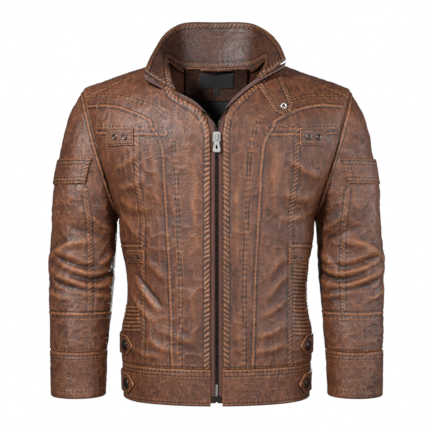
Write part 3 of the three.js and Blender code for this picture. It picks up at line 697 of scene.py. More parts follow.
class Graph:
    """A material whose nodes are added one at a time."""

    def __init__(self, name: str) -> None:
        """Starts a material with an empty look.

        Args:
            name: the material's name.
        """
        self.material = bpy.data.materials.new(name)
        self.material.use_nodes = True
        self.tree = self.material.node_tree
        self.shader = next(n for n in self.tree.nodes if n.type == "BSDF_PRINCIPLED")
        self.place = self.add("ShaderNodeTexCoord").outputs["Object"]

    def add(self, kind: str, links: Optional[dict] = None, **settings) -> bpy.types.Node:
        """Adds a node.

        Args:
            kind: its type.
            links: what each of its inputs is: an output of another node, or a value.
            settings: its own properties.

        Returns:
            The new node.
        """
        node = self.tree.nodes.new(kind)
        for key, value in settings.items():
            setattr(node, key, value)
        self.join(node, links or {})
        return node

    def join(self, node: bpy.types.Node, links: dict) -> None:
        """Sets inputs of a node, by name or by number.

        Args:
            node: the node to set.
            links: a value or an output for each input.
        """
        for key, value in links.items():
            if isinstance(value, bpy.types.NodeSocket):
                self.tree.links.new(value, node.inputs[key])
            else:
                node.inputs[key].default_value = value

    def noise(self, scale: float, detail: float = 4.0) -> bpy.types.NodeSocket:
        """Noise of a scale, per metre."""
        return self.add("ShaderNodeTexNoise", {"Vector": self.place, "Scale": scale, "Detail": detail}).outputs[0]

    def cells(self, scale: float) -> bpy.types.NodeSocket:
        """Distance to the edge of the nearest of some cells, as leather's grain has.

        Args:
            scale: how many cells there are per metre.

        Returns:
            The distance.
        """
        warp = self.add("ShaderNodeTexNoise", {"Vector": self.place, "Scale": scale * 0.6}).outputs["Color"]
        mixed = self.add("ShaderNodeVectorMath", {0: warp, 1: (1.4 / scale,) * 3}, operation="MULTIPLY")
        moved = self.add("ShaderNodeVectorMath", {0: self.place, 1: mixed.outputs[0]}, operation="ADD")
        return self.add("ShaderNodeTexVoronoi", {"Vector": moved.outputs[0], "Scale": scale},
                        feature="DISTANCE_TO_EDGE").outputs["Distance"]

    def math(self, kind: str, a: Value, b: Value, clamp: bool = False) -> bpy.types.NodeSocket:
        """One sum of two values."""
        return self.add("ShaderNodeMath", {0: a, 1: b}, operation=kind, use_clamp=clamp).outputs[0]

    def mark(self, name: str) -> bpy.types.NodeSocket:
        """The value that the mesh keeps for each point under a name."""
        return self.add("ShaderNodeAttribute", attribute_name=name).outputs["Fac"]

    def mix(self, share: Value, a: Value, b: Value) -> bpy.types.NodeSocket:
        """A mix of two colours."""
        node = self.add("ShaderNodeMix", data_type="RGBA", clamp_factor=True)
        self.join(node, {0: share, 6: a, 7: b})
        return node.outputs[2]

    def ramp(self, value: Value, stops: Sequence[tuple[float, tuple]]) -> bpy.types.NodeSocket:
        """Colours along a value.

        Args:
            value: the value that chooses the colour.
            stops: pairs of a place and the colour there.

        Returns:
            The colour.
        """
        node = self.add("ShaderNodeValToRGB", {0: value})
        while len(node.color_ramp.elements) < len(stops):
            node.color_ramp.elements.new(0.5)
        for element, (place, colour) in zip(node.color_ramp.elements, stops):
            element.position, element.color = place, colour
        return node.outputs[0]


@dataclass(frozen=True)
class Leather:
    """Waxed leather: mottled, paler where it is rubbed, nearly black along its threads, and with painted shade in its
    grooves, creases and hollows.
    """

    name: str
    deep: tuple = (46, 24, 14)
    main: tuple = (88, 49, 31)
    pale: tuple = (113, 68, 45)
    worn: tuple = (178, 118, 74)
    # seam is the near-black of the grain's crackle lines, of the thread, and of the painted shade in grooves, creases
    # and hollows.
    seam: tuple = (26, 12, 8)
    rough: float = 0.5

    def material(self) -> bpy.types.Material:
        """Builds the material."""
        g = Graph(self.name)
        cloud = g.math("ADD", g.math("MULTIPLY", g.noise(16, 6), 0.62), g.math("MULTIPLY", g.noise(85, 5), 0.38))
        body = g.ramp(cloud, ((0.30, linear(self.deep)), (0.46, linear(self.main)), (0.66, linear(self.pale))))
        grain = g.cells(230)
        lines = g.math("SUBTRACT", 1.0, g.math("MULTIPLY", grain, 5.0, True), True)
        veins = g.math("SUBTRACT", 1.0, g.math("MULTIPLY", g.cells(190), 6.0, True), True)
        veins = g.math("MULTIPLY", veins, g.math("MULTIPLY", g.noise(34, 4), 1.5, True))
        body = g.mix(g.math("MULTIPLY", lines, 0.35), body, linear(self.deep))
        body = g.mix(g.math("MULTIPLY", veins, 0.5), body, linear(self.seam))
        patchy = g.math("MULTIPLY", g.noise(190, 3), 1.5)
        wear = g.math("MULTIPLY", g.mark("wear"), patchy, True)
        # The dark mark is dark thread plus painted shade in grooves, fold valleys, rib troughs and hollows.
        dark = g.math("MULTIPLY", g.mark("dark"), 0.92, True)
        colour = g.mix(dark, g.mix(wear, body, linear(self.worn)), linear(self.seam))
        rough = g.math("ADD", g.math("MULTIPLY", g.noise(60, 3), 0.28), self.rough - 0.14)
        fine = g.math("MULTIPLY", g.math("MULTIPLY", grain, 3.0, True), 0.6)
        bumps = g.math("ADD", fine, g.math("MULTIPLY", g.noise(420, 4), 0.5))
        bumps = g.math("SUBTRACT", bumps, g.math("MULTIPLY", veins, 0.5))
        bump = g.add("ShaderNodeBump", {"Height": bumps, "Distance": 0.0007, "Strength": 0.5})
        g.join(g.shader, {"Base Color": colour, "Roughness": rough, "Normal": bump.outputs[0],
                          "Specular IOR Level": 0.42})
        return g.material


@dataclass(frozen=True)
class Cloth:
    """Woven cloth: fine ribs both ways and a little sheen."""

    name: str
    colour: tuple
    threads: float = 1400.0
    sheen: float = 0.3

    def material(self) -> bpy.types.Material:
        """Builds the material."""
        g = Graph(self.name)
        soft = g.mix(g.noise(120, 3), linear([c * 0.6 for c in self.colour]), linear(self.colour))
        weave = g.add("ShaderNodeTexWave", {"Vector": g.place, "Scale": self.threads / 6.28, "Distortion": 0.4},
                      bands_direction="DIAGONAL").outputs["Fac"]
        bump = g.add("ShaderNodeBump", {"Height": weave, "Distance": 0.0003, "Strength": 0.5})
        g.join(g.shader, {"Base Color": soft, "Roughness": 0.75, "Normal": bump.outputs[0],
                          "Sheen Weight": self.sheen})
        return g.material


@dataclass(frozen=True)
class Metal:
    """Plated metal that has been handled."""

    name: str
    colour: tuple
    rough: float = 0.25
    metal: float = 1.0

    def material(self) -> bpy.types.Material:
        """Builds the material."""
        g = Graph(self.name)
        smear = g.math("ADD", g.math("MULTIPLY", g.noise(300, 4), 0.2), self.rough - 0.08)
        colour = g.mix(g.noise(90, 3), linear([c * 0.8 for c in self.colour]), linear(self.colour))
        g.join(g.shader, {"Base Color": colour, "Roughness": smear, "Metallic": self.metal})
        return g.material


class Finishes:
    """Every material of the jacket, made once."""

    def __init__(self) -> None:
        """Makes every material."""
        self.leather = Leather("waxed_leather").material()
        self.inner = Leather(
            "inner_leather", deep=(34, 18, 11), main=(66, 37, 25), pale=(88, 53, 37), worn=(150, 98, 62),
        ).material()
        self.facing = Leather(
            "facing_leather", deep=(34, 17, 11), main=(56, 31, 21), pale=(74, 44, 31), rough=0.6,
        ).material()
        self.lining = Cloth("black_lining", (20, 19, 21)).material()
        self.label = Cloth("woven_label", (12, 11, 11), 2600).material()
        self.tape = Cloth("zip_tape_cloth", (84, 42, 28), 1800).material()
        self.teeth = Metal("black_teeth", (46, 42, 38), 0.35).material()
        self.gunmetal = Metal("dark_gunmetal", (92, 86, 82), 0.3).material()
        self.bright = Metal("bright_nickel", (196, 195, 192), 0.36, 0.75).material()


# ---- The front: one continuous sheet on each side ----------------------------------------------------------


def rows_by_length(length: float, pitch: float) -> int:
    """How many rows a length takes at a pitch."""
    return max(2, int(round(length / pitch)) + 1)


@dataclass(frozen=True)
class Panels:
    """What the fronts and the back share: sizes and seam lines, as [distance from the middle, height]."""

    pitch: float = 1.9
    leather: float = 2.2
    front_edge: float = 10.0
    band: float = 16.5
    waistband: float = 62.0
    inner_seam: tuple = ((54, 62), (54, 223), (60, 361), (62, 411), (68, 450), (80, 484), (97, 505), (147, 523),
                         (183, 530), (224, 531))
    strip: tuple = ((62, 17), (223, 22), (411, 24), (450, 24), (484, 30), (505, 28), (530, 22))
    princess: tuple = ((136, 470), (136, 420), (135, 382), (131, 360), (126, 315), (126, 268), (126, 62))
    chest_high: tuple = ((88, 470), (140, 472), (205, 476))
    chest_low: tuple = ((88, 461), (140, 463), (205, 467))
    v_right: tuple = ((10, 461), (17, 488), (33, 508), (72, 533), (80, 560), (88, 600))
    v_left: tuple = ((10, 461), (14, 488), (26, 513), (71, 556), (82, 575), (88, 600))
    yoke: float = 455.0

    def outer_seam(self) -> tuple:
        """The strip's outer seam: its inner seam, moved out by the strip's width."""
        line = []
        for i, (x, z) in enumerate(self.inner_seam):
            (x0, z0), (x1, z1) = self.inner_seam[max(0, i - 1)], self.inner_seam[min(len(self.inner_seam) - 1, i + 1)]
            run, width = math.hypot(x1 - x0, z1 - z0), float(along(self.strip, z))
            line.append((x + (z1 - z0) / run * width, z - (x1 - x0) / run * width))
        return tuple(line)

    def edge_u(self, v: Grid, sign: int, more: float = 0.0) -> Grid:
        """The u at which a front's edge lies in each row: straight beside the zip, then out along the neck.

        Args:
            v: the rows.
            sign: which front.
            more: how far past the edge, in millimetres.

        Returns:
            The place of the edge in each row.
        """
        edge = np.array(self.v_right if sign < 0 else self.v_left, float)
        u = np.full(v.shape, 0.04)
        for _ in range(12):
            z = BODY.at(u, v, -1)[:, 2]
            x = np.interp(z, edge[:, 1], edge[:, 0]) + more
            u = np.arcsin(x / BODY.half_width(z)) / (math.pi / 2)
        return u


PANELS = Panels()


@dataclass(frozen=True)
class Ribs:
    """A stitched patch of raised ribs between two heights and two distances from the middle."""

    sign: int
    low: float
    high: float
    near: float = 129.0
    far: float = 163.0
    pitch: float = 6.4

    def press(self, relief: Relief, points: Grid, normals: Grid) -> None:
        """Presses the ribs into a relief.

        Args:
            relief: the relief to press into.
            points: the sheet's points.
            normals: the way out of the sheet at each point.
        """
        x, z = self.sign * points[..., 0], points[..., 2]
        inside = smooth((x - self.near) / 3) * smooth((self.far - x) / 3) * smooth((z - self.low) / 3)
        inside = inside * smooth((self.high - z) / 3)
        wave = 0.5 + 0.5 * np.cos(2 * math.pi * (z + 0.12 * x) / self.pitch)
        # Rib crests get rubbed wear; the troughs get painted shade.
        relief.add(inside * 1.5 * wave, inside * 0.35 * wave**3, inside * 0.7 * (1 - wave) ** 3)


@dataclass(frozen=True)
class FrontHalf:
    """One front, from the zip to the side seam and from the waistband to the shoulder."""

    sign: int
    word: str
    folds: tuple = ()
    strip_shift: float = 0.0

    def out(self, points: Iterable, dx: float = 0.0) -> Grid:
        """A line on this front through (distance from the middle, height) pairs, moved outwards by dx."""
        return BODY.on_front([(self.sign * (x + dx), z) for x, z in points])

    def lines(self) -> list:
        """Its seams, as marks for a sheet."""
        s, p, move = self.sign, PANELS, self.strip_shift
        edge = p.v_right if s < 0 else p.v_left
        near_edge = [(p.band, p.waistband), (p.band, 300), (p.band, 452)]
        near_edge += [(x + 6.0, z - 6.0) for x, z in edge[1:5]]
        ridge = [(x, z - 9) for x, z in ((94, 590), (160, 568), (232, 541))]
        rows = [
            Seam(self.out(near_edge), Sewing.GATHERED, s, 8.2, 1.0),
            Seam(self.out(p.inner_seam, move), Sewing.TWIN, s, 9.0, 0.85),
            Seam(self.out(p.outer_seam(), move), Sewing.LAPPED, -s, 7.0, 0.9),
            Seam(self.out(p.princess), Sewing.GATHERED, -s, 7.0, 0.6),
            Seam(self.out(p.chest_high), Sewing.SINGLE, 1, strength=1.3),
            Seam(self.out(p.chest_low), Sewing.LAPPED, s, 7.0, 0.9),
            Seam(self.out(ridge), Sewing.LAPPED, s, strength=0.7),
            Seam(self.out([(12, 66), (90, 66), (164, 66)]), Sewing.SINGLE, 1),
            Seam(self.out([(129, 272), (150, 272), (170, 270)]), Sewing.LAPPED, s, strength=0.8),
            Seam(BODY.at(np.full(90, s * 0.965), np.linspace(0.74, 1.9, 90), -1), Sewing.SINGLE, 1, 7.4, 1.3),
        ]
        return rows

    def sheet(self) -> Sheet:
        """The whole front as a grid with its relief."""
        p, s = PANELS, self.sign
        z0 = p.waistband + 0.3
        low = np.linspace(z0 / BODY.mid_z, 1, rows_by_length(BODY.mid_z - z0, p.pitch))
        v = np.concatenate([low, np.linspace(1, 2, rows_by_length(190, p.pitch))[1:]])
        u = p.edge_u(v, s)[:, None]
        grid_u = u + (1 - u) * np.linspace(0, 1, rows_by_length(215, p.pitch))
        base = BODY.at(s * grid_u, np.broadcast_to(v[:, None], grid_u.shape), -1)
        ribs = Ribs(s, 119, 165) if s < 0 else Ribs(s, 112, 240)
        sheet = Sheet(base, s).creased(1.0, (11, 11, 22), 3 + s)
        return sheet.press([*self.lines(), ribs, *self.folds])

    def make(self, finish: Finishes) -> list:
        """Makes the front and hides the solids that it stands for.

        Args:
            finish: the jacket's materials.

        Returns:
            The pieces.
        """
        piece = self.sheet().piece(f"{self.word}_front", finish.leather, PANELS.leather)
        names = ("front_panel", "front_strip", "chest_panel", "side_panel")
        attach(piece, "torso")
        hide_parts(*(f"{self.word}_{name}" for name in names))
        return [piece]


def stroke(sign: int, points: Sequence[Sequence[float]], width: float, height: float) -> Fold:
    """A fold on the front through points given as [distance from the middle, height]."""
    return Fold(BODY.on_front([(sign * x, z) for x, z in points]), width, height)


# ---- Back, waistband and lining ---------------------------------------------------------------------------


def body_rows(low: float, high: float, pitch: float) -> Grid:
    """Rows of the body from a height up to a v of at most 2, evenly spaced."""
    straight = np.linspace(low / BODY.mid_z, 1, rows_by_length(BODY.mid_z - low, pitch))
    return np.concatenate([straight, np.linspace(1, high, rows_by_length(190 * (high - 1), pitch))[1:]])


@dataclass(frozen=True)
class Back:
    """The back: one sheet with a yoke seam and two shaping seams."""

    pitch: float = 2.8
    neck: tuple = ((0, 587), (62, 589.5), (88, 600))
    shaping: tuple = ((92, 62), (84, 180), (100, 300), (128, 455))

    def make(self, finish: Finishes) -> None:
        """Makes the back.

        Args:
            finish: the jacket's materials.
        """
        u = np.linspace(-1, 1, rows_by_length(470, self.pitch))
        v = body_rows(PANELS.waistband + 0.3, 2, self.pitch)
        x = BODY.shoulder * np.sin(u * math.pi / 2)
        top = BODY.shoulder_line(x)
        cut = np.minimum(top, np.interp(np.abs(x), *np.array(self.neck).T))
        highest = 1 + np.arcsin(np.clip((cut - BODY.mid_z) / (top - BODY.mid_z), 0, 1)) / (math.pi / 2)
        grid_v = np.where(v[:, None] > 1, 1 + (v[:, None] - 1) * (highest[None] - 1), v[:, None])
        base = BODY.at(np.broadcast_to(u, grid_v.shape), grid_v, 1)
        yoke = [(x, PANELS.yoke) for x in (-208, -100, 0, 100, 208)]
        marks = [Seam(BODY.on_front(yoke, 1), Sewing.LAPPED, 1)]
        for sign in (RIGHT, LEFT):
            line = BODY.on_front([(sign * x, z) for x, z in self.shaping], 1)
            marks.append(Seam(line, Sewing.LAPPED, -sign, strength=0.9))
        piece = Sheet(base, -1).creased(0.6, (10, 10, 18), 11).press(marks).piece("back", finish.leather, 2.2)
        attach(piece, "torso")
        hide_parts("back_panel", "back_yoke")


@dataclass(frozen=True)
class Waistband:
    """The band round the hem: a front on each side and the back."""

    pitch: float = 1.9
    gap: float = 0.25

    def rows(self) -> Grid:
        """Its rows from the hem up."""
        return np.linspace(0, PANELS.waistband - self.gap, rows_by_length(PANELS.waistband, self.pitch)) / BODY.mid_z

    def lines(self, columns: Grid, face: int) -> list:
        """Its rows of stitches.

        Args:
            columns: where the rows of stitches run, round the body.
            face: -1 for the front and 1 for the back.

        Returns:
            The seams.
        """
        marks = []
        for z, strength in ((6, 1.2), (50, 0.9), (57, 1.5)):
            line = BODY.at(columns, np.full(columns.shape, z / BODY.mid_z), face)
            marks.append(Seam(line, Sewing.SINGLE, 1, 7.3, strength))
        return marks

    def make(self, finish: Finishes) -> None:
        """Makes the three pieces.

        Args:
            finish: the jacket's materials.
        """
        v = self.rows()[:, None]
        for sign, word in SIDES:
            inner = math.asin(PANELS.front_edge / BODY.hem) / (math.pi / 2)
            u = sign * np.linspace(inner, 1, rows_by_length(230, self.pitch))
            base = BODY.at(np.broadcast_to(u, (len(v), len(u))), np.broadcast_to(v, (len(v), len(u))), -1)
            sheet = Sheet(base, sign).creased(0.7, (9, 9, 12), 21).press(self.lines(u, -1))
            self.settle(sheet.piece(f"{word}_front_band", finish.leather, 2.4), f"{word}_waistband")
        u = np.linspace(-1, 1, rows_by_length(430, self.pitch * 1.3))
        base = BODY.at(np.broadcast_to(u, (len(v), len(u))), np.broadcast_to(v, (len(v), len(u))), 1)
        sheet = Sheet(base, -1).creased(0.7, (9, 9, 12), 22).press(self.lines(u, 1))
        self.settle(sheet.piece("back_band", finish.leather, 2.4), "back_waistband")

    @staticmethod
    def settle(piece: bpy.types.Object, node: str) -> None:
        """Puts a piece on the torso in place of a solid."""
        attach(piece, "torso")
        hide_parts(node)


@dataclass(frozen=True)
class Inside:
    """What shows inside the neck: lining, facing, label, size tab and hanger loop."""

    pitch: float = 4.0
    lining_low: float = 24.0
    lining_top: float = 1.45
    facing: tuple = (-58, 58, 538, 597)
    label: tuple = (-33, 33, 562, 588)
    size_tab: tuple = (-5, 6, 550, 561.7)
    loop_half: float = 30.0
    loop_z: float = 589.0
    loop_room: float = 11.9
    loop_slack: float = 7.0

    def lining(self, finish: Finishes) -> None:
        """Makes the three sheets of the body's lining.

        Args:
            finish: the jacket's materials.
        """
        v = body_rows(self.lining_low, self.lining_top, self.pitch)[:, None]
        sheets = [("back_lining", np.broadcast_to(np.linspace(-0.99, 0.99, 110), (len(v), 110)), 1, -1)]
        for sign, word in SIDES:
            near = PANELS.edge_u(v[:, 0], sign, 9.0)[:, None]
            sheets.append((f"{word}_front_lining", sign * (near + (0.99 - near) * np.linspace(0, 1, 50)), -1, sign))
        for name, u, face, outward in sheets:
            base = BODY.at(u, np.broadcast_to(v, u.shape), face)
            sheet = Sheet(base, outward, lift=-4.6).creased(0.8, (16, 16, 26), 31)
            piece = sheet.piece(name, finish.lining, 1.1, edge=0.6)
            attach(piece, "torso")
            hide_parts("body_lining")

    def patch(self, box: tuple, lift: float, height: float) -> Sheet:
        """A layer inside the back, between two distances from the middle and two heights.

        Args:
            box: its sides, as two distances from the middle and two heights.
            lift: how far it lies inside the back.
            height: how deep its creases are.

        Returns:
            The layer as a sheet.
        """
        x = np.linspace(box[0], box[1], rows_by_length(box[1] - box[0], 1.5))[None]
        z = np.linspace(box[2], box[3], rows_by_length(box[3] - box[2], 1.5))[:, None]
        shape = (z.size, x.size)
        u, v = BODY.place_of(np.broadcast_to(x, shape), np.broadcast_to(z, shape))
        return Sheet(BODY.at(u, v, 1), 1, lift=lift).creased(height, (9, 9, 14), 33)

    def make(self, finish: Finishes) -> None:
        """Makes every piece inside.

        Args:
            finish: the jacket's materials.
        """
        self.lining(finish)
        layers = (("facing", self.facing, 7.0, 0.4, 2.4, finish.facing, "neck_facing", "facing"),
                  ("label", self.label, 8.3, 0.1, 0.9, finish.label, "neck_label", "lining"),
                  ("size_label", self.size_tab, 8.3, 0.1, 0.9, finish.label, "size_tab", "lining"))
        for name, box, lift, height, thick, look, node, slot in layers:
            piece = self.patch(box, lift, height).piece(name, look, thick, edge=0.5)
            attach(piece, "torso")
            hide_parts(node)
        x = np.linspace(-self.loop_half, self.loop_half, 25)
        z = np.full(x.shape, self.loop_z)
        wall = BODY.at(*BODY.place_of(x, z), 1)[:, 1] - self.loop_room
        line = np.stack([x, wall - self.loop_slack * (1 - (x / self.loop_half) ** 2), z], axis=1)
        loop = tube("hanger_strap", line, ((0, -2.2), (0.8, -1.8), (0.8, 1.8), (0, 2.2), (-0.8, 1.8), (-0.8, -1.8)),
                    finish.leather)
        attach(loop, "torso")
        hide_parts("hanger_loop")


def tube(name: str, line: Grid, section: Sequence[tuple], finish: bpy.types.Material) -> bpy.types.Object:
    """A solid strip along a line.

    Args:
        name: the piece's name.
        line: its middle, in millimetres.
        section: its outline square to the line, as (across, up).
        finish: its material.

    Returns:
        The new object.
    """
    ahead = unit(np.gradient(line, axis=0))
    across = unit(np.cross(ahead, [0, 0, 1.0]))
    up = np.cross(across, ahead)
    sec = np.asarray(section, float)
    points = line[:, None] + across[:, None] * sec[None, :, :1] + up[:, None] * sec[None, :, 1:]
    faces = grid_faces(len(line), len(sec), True)
    last = (len(line) - 1) * len(sec)
    faces += [list(range(len(sec)))[::-1], [last + i for i in range(len(sec))]]
    return build(name, points.reshape(-1, 3), faces, finish)


# ---- Sleeves ------------------------------------------------------------------------------------------------


@dataclass(frozen=True)
class Sleeve:
    """One sleeve in two lengths that meet under the arm flap, with its cuff, flap and lining."""

    sign: int
    word: str
    folds: tuple = ()
    around: int = 184
    cuff_ring: float = 9.0
    flap: tuple = (90, 234, 376, 421)
    lean: tuple = (0.913, -0.408)

    def ring_at(self, u: Grid, z: Grid) -> Grid:
        """How many rings down a height lies, at an angle round the sleeve.

        Args:
            u: angles round the sleeve, in degrees.
            z: heights from the hem.

        Returns:
            The ring at each point.
        """
        above, below = np.zeros(u.shape), np.full(u.shape, 10.0)
        for _ in range(26):
            middle = (above + below) / 2
            higher = SLEEVE.at(u, middle, self.sign)[..., 2] > z
            above, below = np.where(higher, middle, above), np.where(higher, below, middle)
        return above

    def on(self, points: Sequence[tuple]) -> Grid:
        """A line on the sleeve through (degrees, ring) pairs."""
        flat = curve_through([(u, v * 30) for u, v in points], 2.0)
        return SLEEVE.at(flat[:, 0], flat[:, 1] / 30, self.sign)

    def ring(self, v: float) -> Grid:
        """A line right round the sleeve, some rings down."""
        return self.on([(u, v) for u in range(0, 361, 30)])

    def level_at(self, u: Grid, z: Grid) -> Grid:
        """Points of the sleeve at angles round it and heights from the hem."""
        return SLEEVE.at(u, self.ring_at(u, z), self.sign)

    def place(self, x: float, z: float) -> tuple:
        """Where a point of the sleeve, given by X and Z, falls on the line through the middle at the hem along which
        the sleeve leans, in the frame.
        """
        value = self.lean[0] * x + self.lean[1] * z
        return tuple(to_frame(np.array((self.sign * self.lean[0] * value, 0, self.lean[1] * value))))

    def keep_out(self, base: Grid) -> Grid:
        """Keeps points of the sleeve outside the armhole."""
        x, z = self.sign * base[..., 0], base[..., 2]
        edge = np.where(z > BODY.armpit_z - 3, BODY.half_width(z) + 0.3, 0)
        return np.concatenate([self.sign * np.maximum(x, edge)[..., None], base[..., 1:]], axis=-1)

    def grid(self) -> tuple[Grid, int]:
        """The sleeve from armhole to cuff seam, and the row at which its two lengths meet."""
        u = np.linspace(0, 360, self.around, endpoint=False)
        meet = 3.85 + 1.2 * np.cos(np.radians(u))
        high, low = np.linspace(0, 1, 78)[:, None], np.linspace(0, 1, 150)[1:, None]
        v = np.concatenate([high * meet, meet + low * (self.cuff_ring - 0.004 - meet)])
        return self.keep_out(SLEEVE.at(np.broadcast_to(u, v.shape), v, self.sign)), 77

    def seams(self) -> list:
        """Its sewn lines."""
        s = self.sign
        return [
            Seam(self.on([(88, 2.2), (76, 3.4), (71, 5), (69, 6.5), (66, 7.7)]), Sewing.GATHERED, s, 6.5, 0.7),
            Seam(self.on([(250, 2.95), (250, 6), (252, 7.7)]), Sewing.LAPPED, -s, 6.5),
            Seam(self.ring(7.74), Sewing.LAPPED, s, 7.0, 0.9),
            Seam(self.ring(7.93), Sewing.SINGLE, s, 7.0, 1.2),
            Seam(self.ring(0.12), Sewing.LAPPED, s, 7.5, 0.9),
            Seam(self.ring(8.93), Sewing.SINGLE, s, 7.0, 0.8),
        ]

    def crumples(self) -> list:
        """The folds that every sleeve has at the elbow and below it."""
        rows = (((5, 5.1), (60, 5.9), (135, 5.2), 8, 4.2), ((20, 6.15), (70, 6.35), (140, 5.75), 8, 4.6),
                ((0, 6.5), (65, 6.85), (165, 6.1), 9, 4.4), ((5, 7.3), (70, 7.1), (100, 6.9), 7, 2.8),
                ((40, 5.5), (80, 6.12), (150, 5.4), 6, -3.2), ((0, 6.1), (60, 6.6), (110, 6.4), 6, -3.8),
                ((35, 6.95), (80, 6.95), (160, 6.5), 6, -3.0), ((100, 5.0), (140, 5.5), (190, 5.9), 9, 3.2),
                ((70, 4.6), (110, 4.9), (150, 5.4), 7, 3.4), ((200, 5.6), (250, 5.9), (300, 6.1), 6, 2.8),
                ((30, 4.6), (70, 4.2), (110, 4.1), 7, -2.6), ((100, 7.3), (130, 7.2), (170, 6.9), 6, 2.8),
                ((210, 6.4), (260, 6.5), (320, 6.6), 6, 3.0), ((20, 3.9), (60, 3.5), (90, 3.1), 7, 2.6),
                ((120, 6.9), (150, 6.5), (175, 6.0), 6, 2.4))
        return [Fold(self.on((a, b, c)), width, height) for a, b, c, width, height in rows]

    def make(self, finish: Finishes) -> None:
        """Makes the sleeve's pieces.

        Args:
            finish: the jacket's materials.
        """
        s, w = self.sign, self.word
        base, row = self.grid()
        sheet = Sheet(base, -s, closed=True).creased(1.1, (12, 12, 9), 41 + s)
        sheet.press([*self.seams(), *self.crumples(), *self.folds])
        upper = sheet.piece(f"{w}_sleeve_top", finish.leather, 2.2, slice(0, row + 1), True, False)
        lower = sheet.piece(f"{w}_sleeve_length", finish.leather, 2.2, slice(row, None), False, True)
        start, end = self.place(174, 320), self.place(182, 262)
        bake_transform(upper)
        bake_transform(lower)
        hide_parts(f"{w}_upper_sleeve")
        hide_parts(f"{w}_forearm_sleeve", f"{w}_upper_sleeve")
        u = np.linspace(0, 360, self.around, endpoint=False)
        v = np.broadcast_to(np.linspace(self.cuff_ring + 0.004, 10, 44)[:, None], (44, len(u)))
        cuff_sheet = Sheet(SLEEVE.at(np.broadcast_to(u, v.shape), v, s), -s, closed=True, lift=0.3)
        cuff_sheet.creased(0.8, (10, 10, 10), 45 + s)
        stitched = ((9.09, 1.2), (9.16, 0.6), (9.85, 1.1))
        cuff_sheet.press([Seam(self.ring(v), Sewing.SINGLE, s, 7, strength) for v, strength in stitched])
        cuff = cuff_sheet.piece(f"{w}_cuff_band", finish.leather, 2.4)
        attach(cuff, f"{w}_forearm")
        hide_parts(f"{w}_cuff")
        a0, a1, z0, z1 = self.flap
        angles = np.broadcast_to(np.linspace(a0, a1, 110)[None], (32, 110))
        heights = np.broadcast_to(np.linspace(z0, z1, 32)[:, None], (32, 110))
        flap_sheet = Sheet(self.level_at(angles, heights), s, lift=2.9).creased(0.5, (10, 10, 9), 47)
        row = np.linspace(a0, a1, 60)
        stitched = (z0 + 5, z0 + 11, z1 - 5, z1 - 11)
        marks = [Seam(self.level_at(row, np.full(60, z)), Sewing.SINGLE, s, 6.5, 1.2) for z in stitched]
        upright = np.linspace(z0, z1, 20)
        marks.append(Seam(self.level_at(np.full(20, a0 + 5.0), upright), Sewing.GATHERED, s, 6.0, 0.5))
        flap = flap_sheet.press(marks).piece(f"{w}_flap", finish.leather, 2.4)
        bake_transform(flap)
        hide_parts(f"{w}_arm_flap")
        lu = np.linspace(0, 360, 72, endpoint=False)
        lv = np.broadcast_to(np.linspace(6.6, 9.93, 40)[:, None], (40, 72))
        inner = Sheet(SLEEVE.at(np.broadcast_to(lu, lv.shape), lv, s), -s, closed=True, lift=-3.6)
        lining = inner.creased(0.7, (14, 14, 10), 49).piece(f"{w}_sleeve_lining", finish.lining, 0.9, edge=0.5)
        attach(lining, f"{w}_forearm")


# ---- Collar -----------------------------------------------------------------------------------------------


@dataclass(frozen=True)
class Collar:
    """The stand collar's two leaves, sewn together along the top."""

    columns: int = 260
    rows: int = 42
    half: float = 3.1
    tuck: float = 0.05  # how far down the inner leaf reaches past the neck's edge

    def along(self, share: float) -> Grid:
        """A line round the collar at a share of its height."""
        return COLLAR.at(np.linspace(0, 1, 200), np.array([share]))[0]

    def make(self, finish: Finishes) -> None:
        """Makes both leaves.

        Args:
            finish: the jacket's materials.
        """
        u = np.linspace(0.004, 0.996, self.columns)
        leaves = (("collar_shell", -1, "collar_outer", 51), ("collar_lining", 1, "collar_inner", 53))
        for name, outward, node, seed in leaves:
            v = np.linspace(0.012 if outward < 0 else -self.tuck, 1, self.rows)
            base = COLLAR.at(u, v)
            marks = [Seam(self.along(0.93), Sewing.GATHERED, 1, 7.4, 0.8),
                     Seam(self.along(0.14), Sewing.GATHERED, 1, 6, 0.8),
                     Seam(COLLAR.at(np.array([0.02]), v)[:, 0], Sewing.GATHERED, 1, 7.4, 0.7),
                     Seam(COLLAR.at(np.array([0.98]), v)[:, 0], Sewing.GATHERED, 1, 7.4, 0.7)]
            sheet = Sheet(base, outward, lift=self.half).creased(0.7, (12, 12, 9), seed).press(marks)
            piece = sheet.piece(name, finish.leather if outward < 0 else finish.inner, self.half - 0.1, edge=2.4)
            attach(piece, "torso")
            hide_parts(node)


# ---- Zip --------------------------------------------------------------------------------------------------


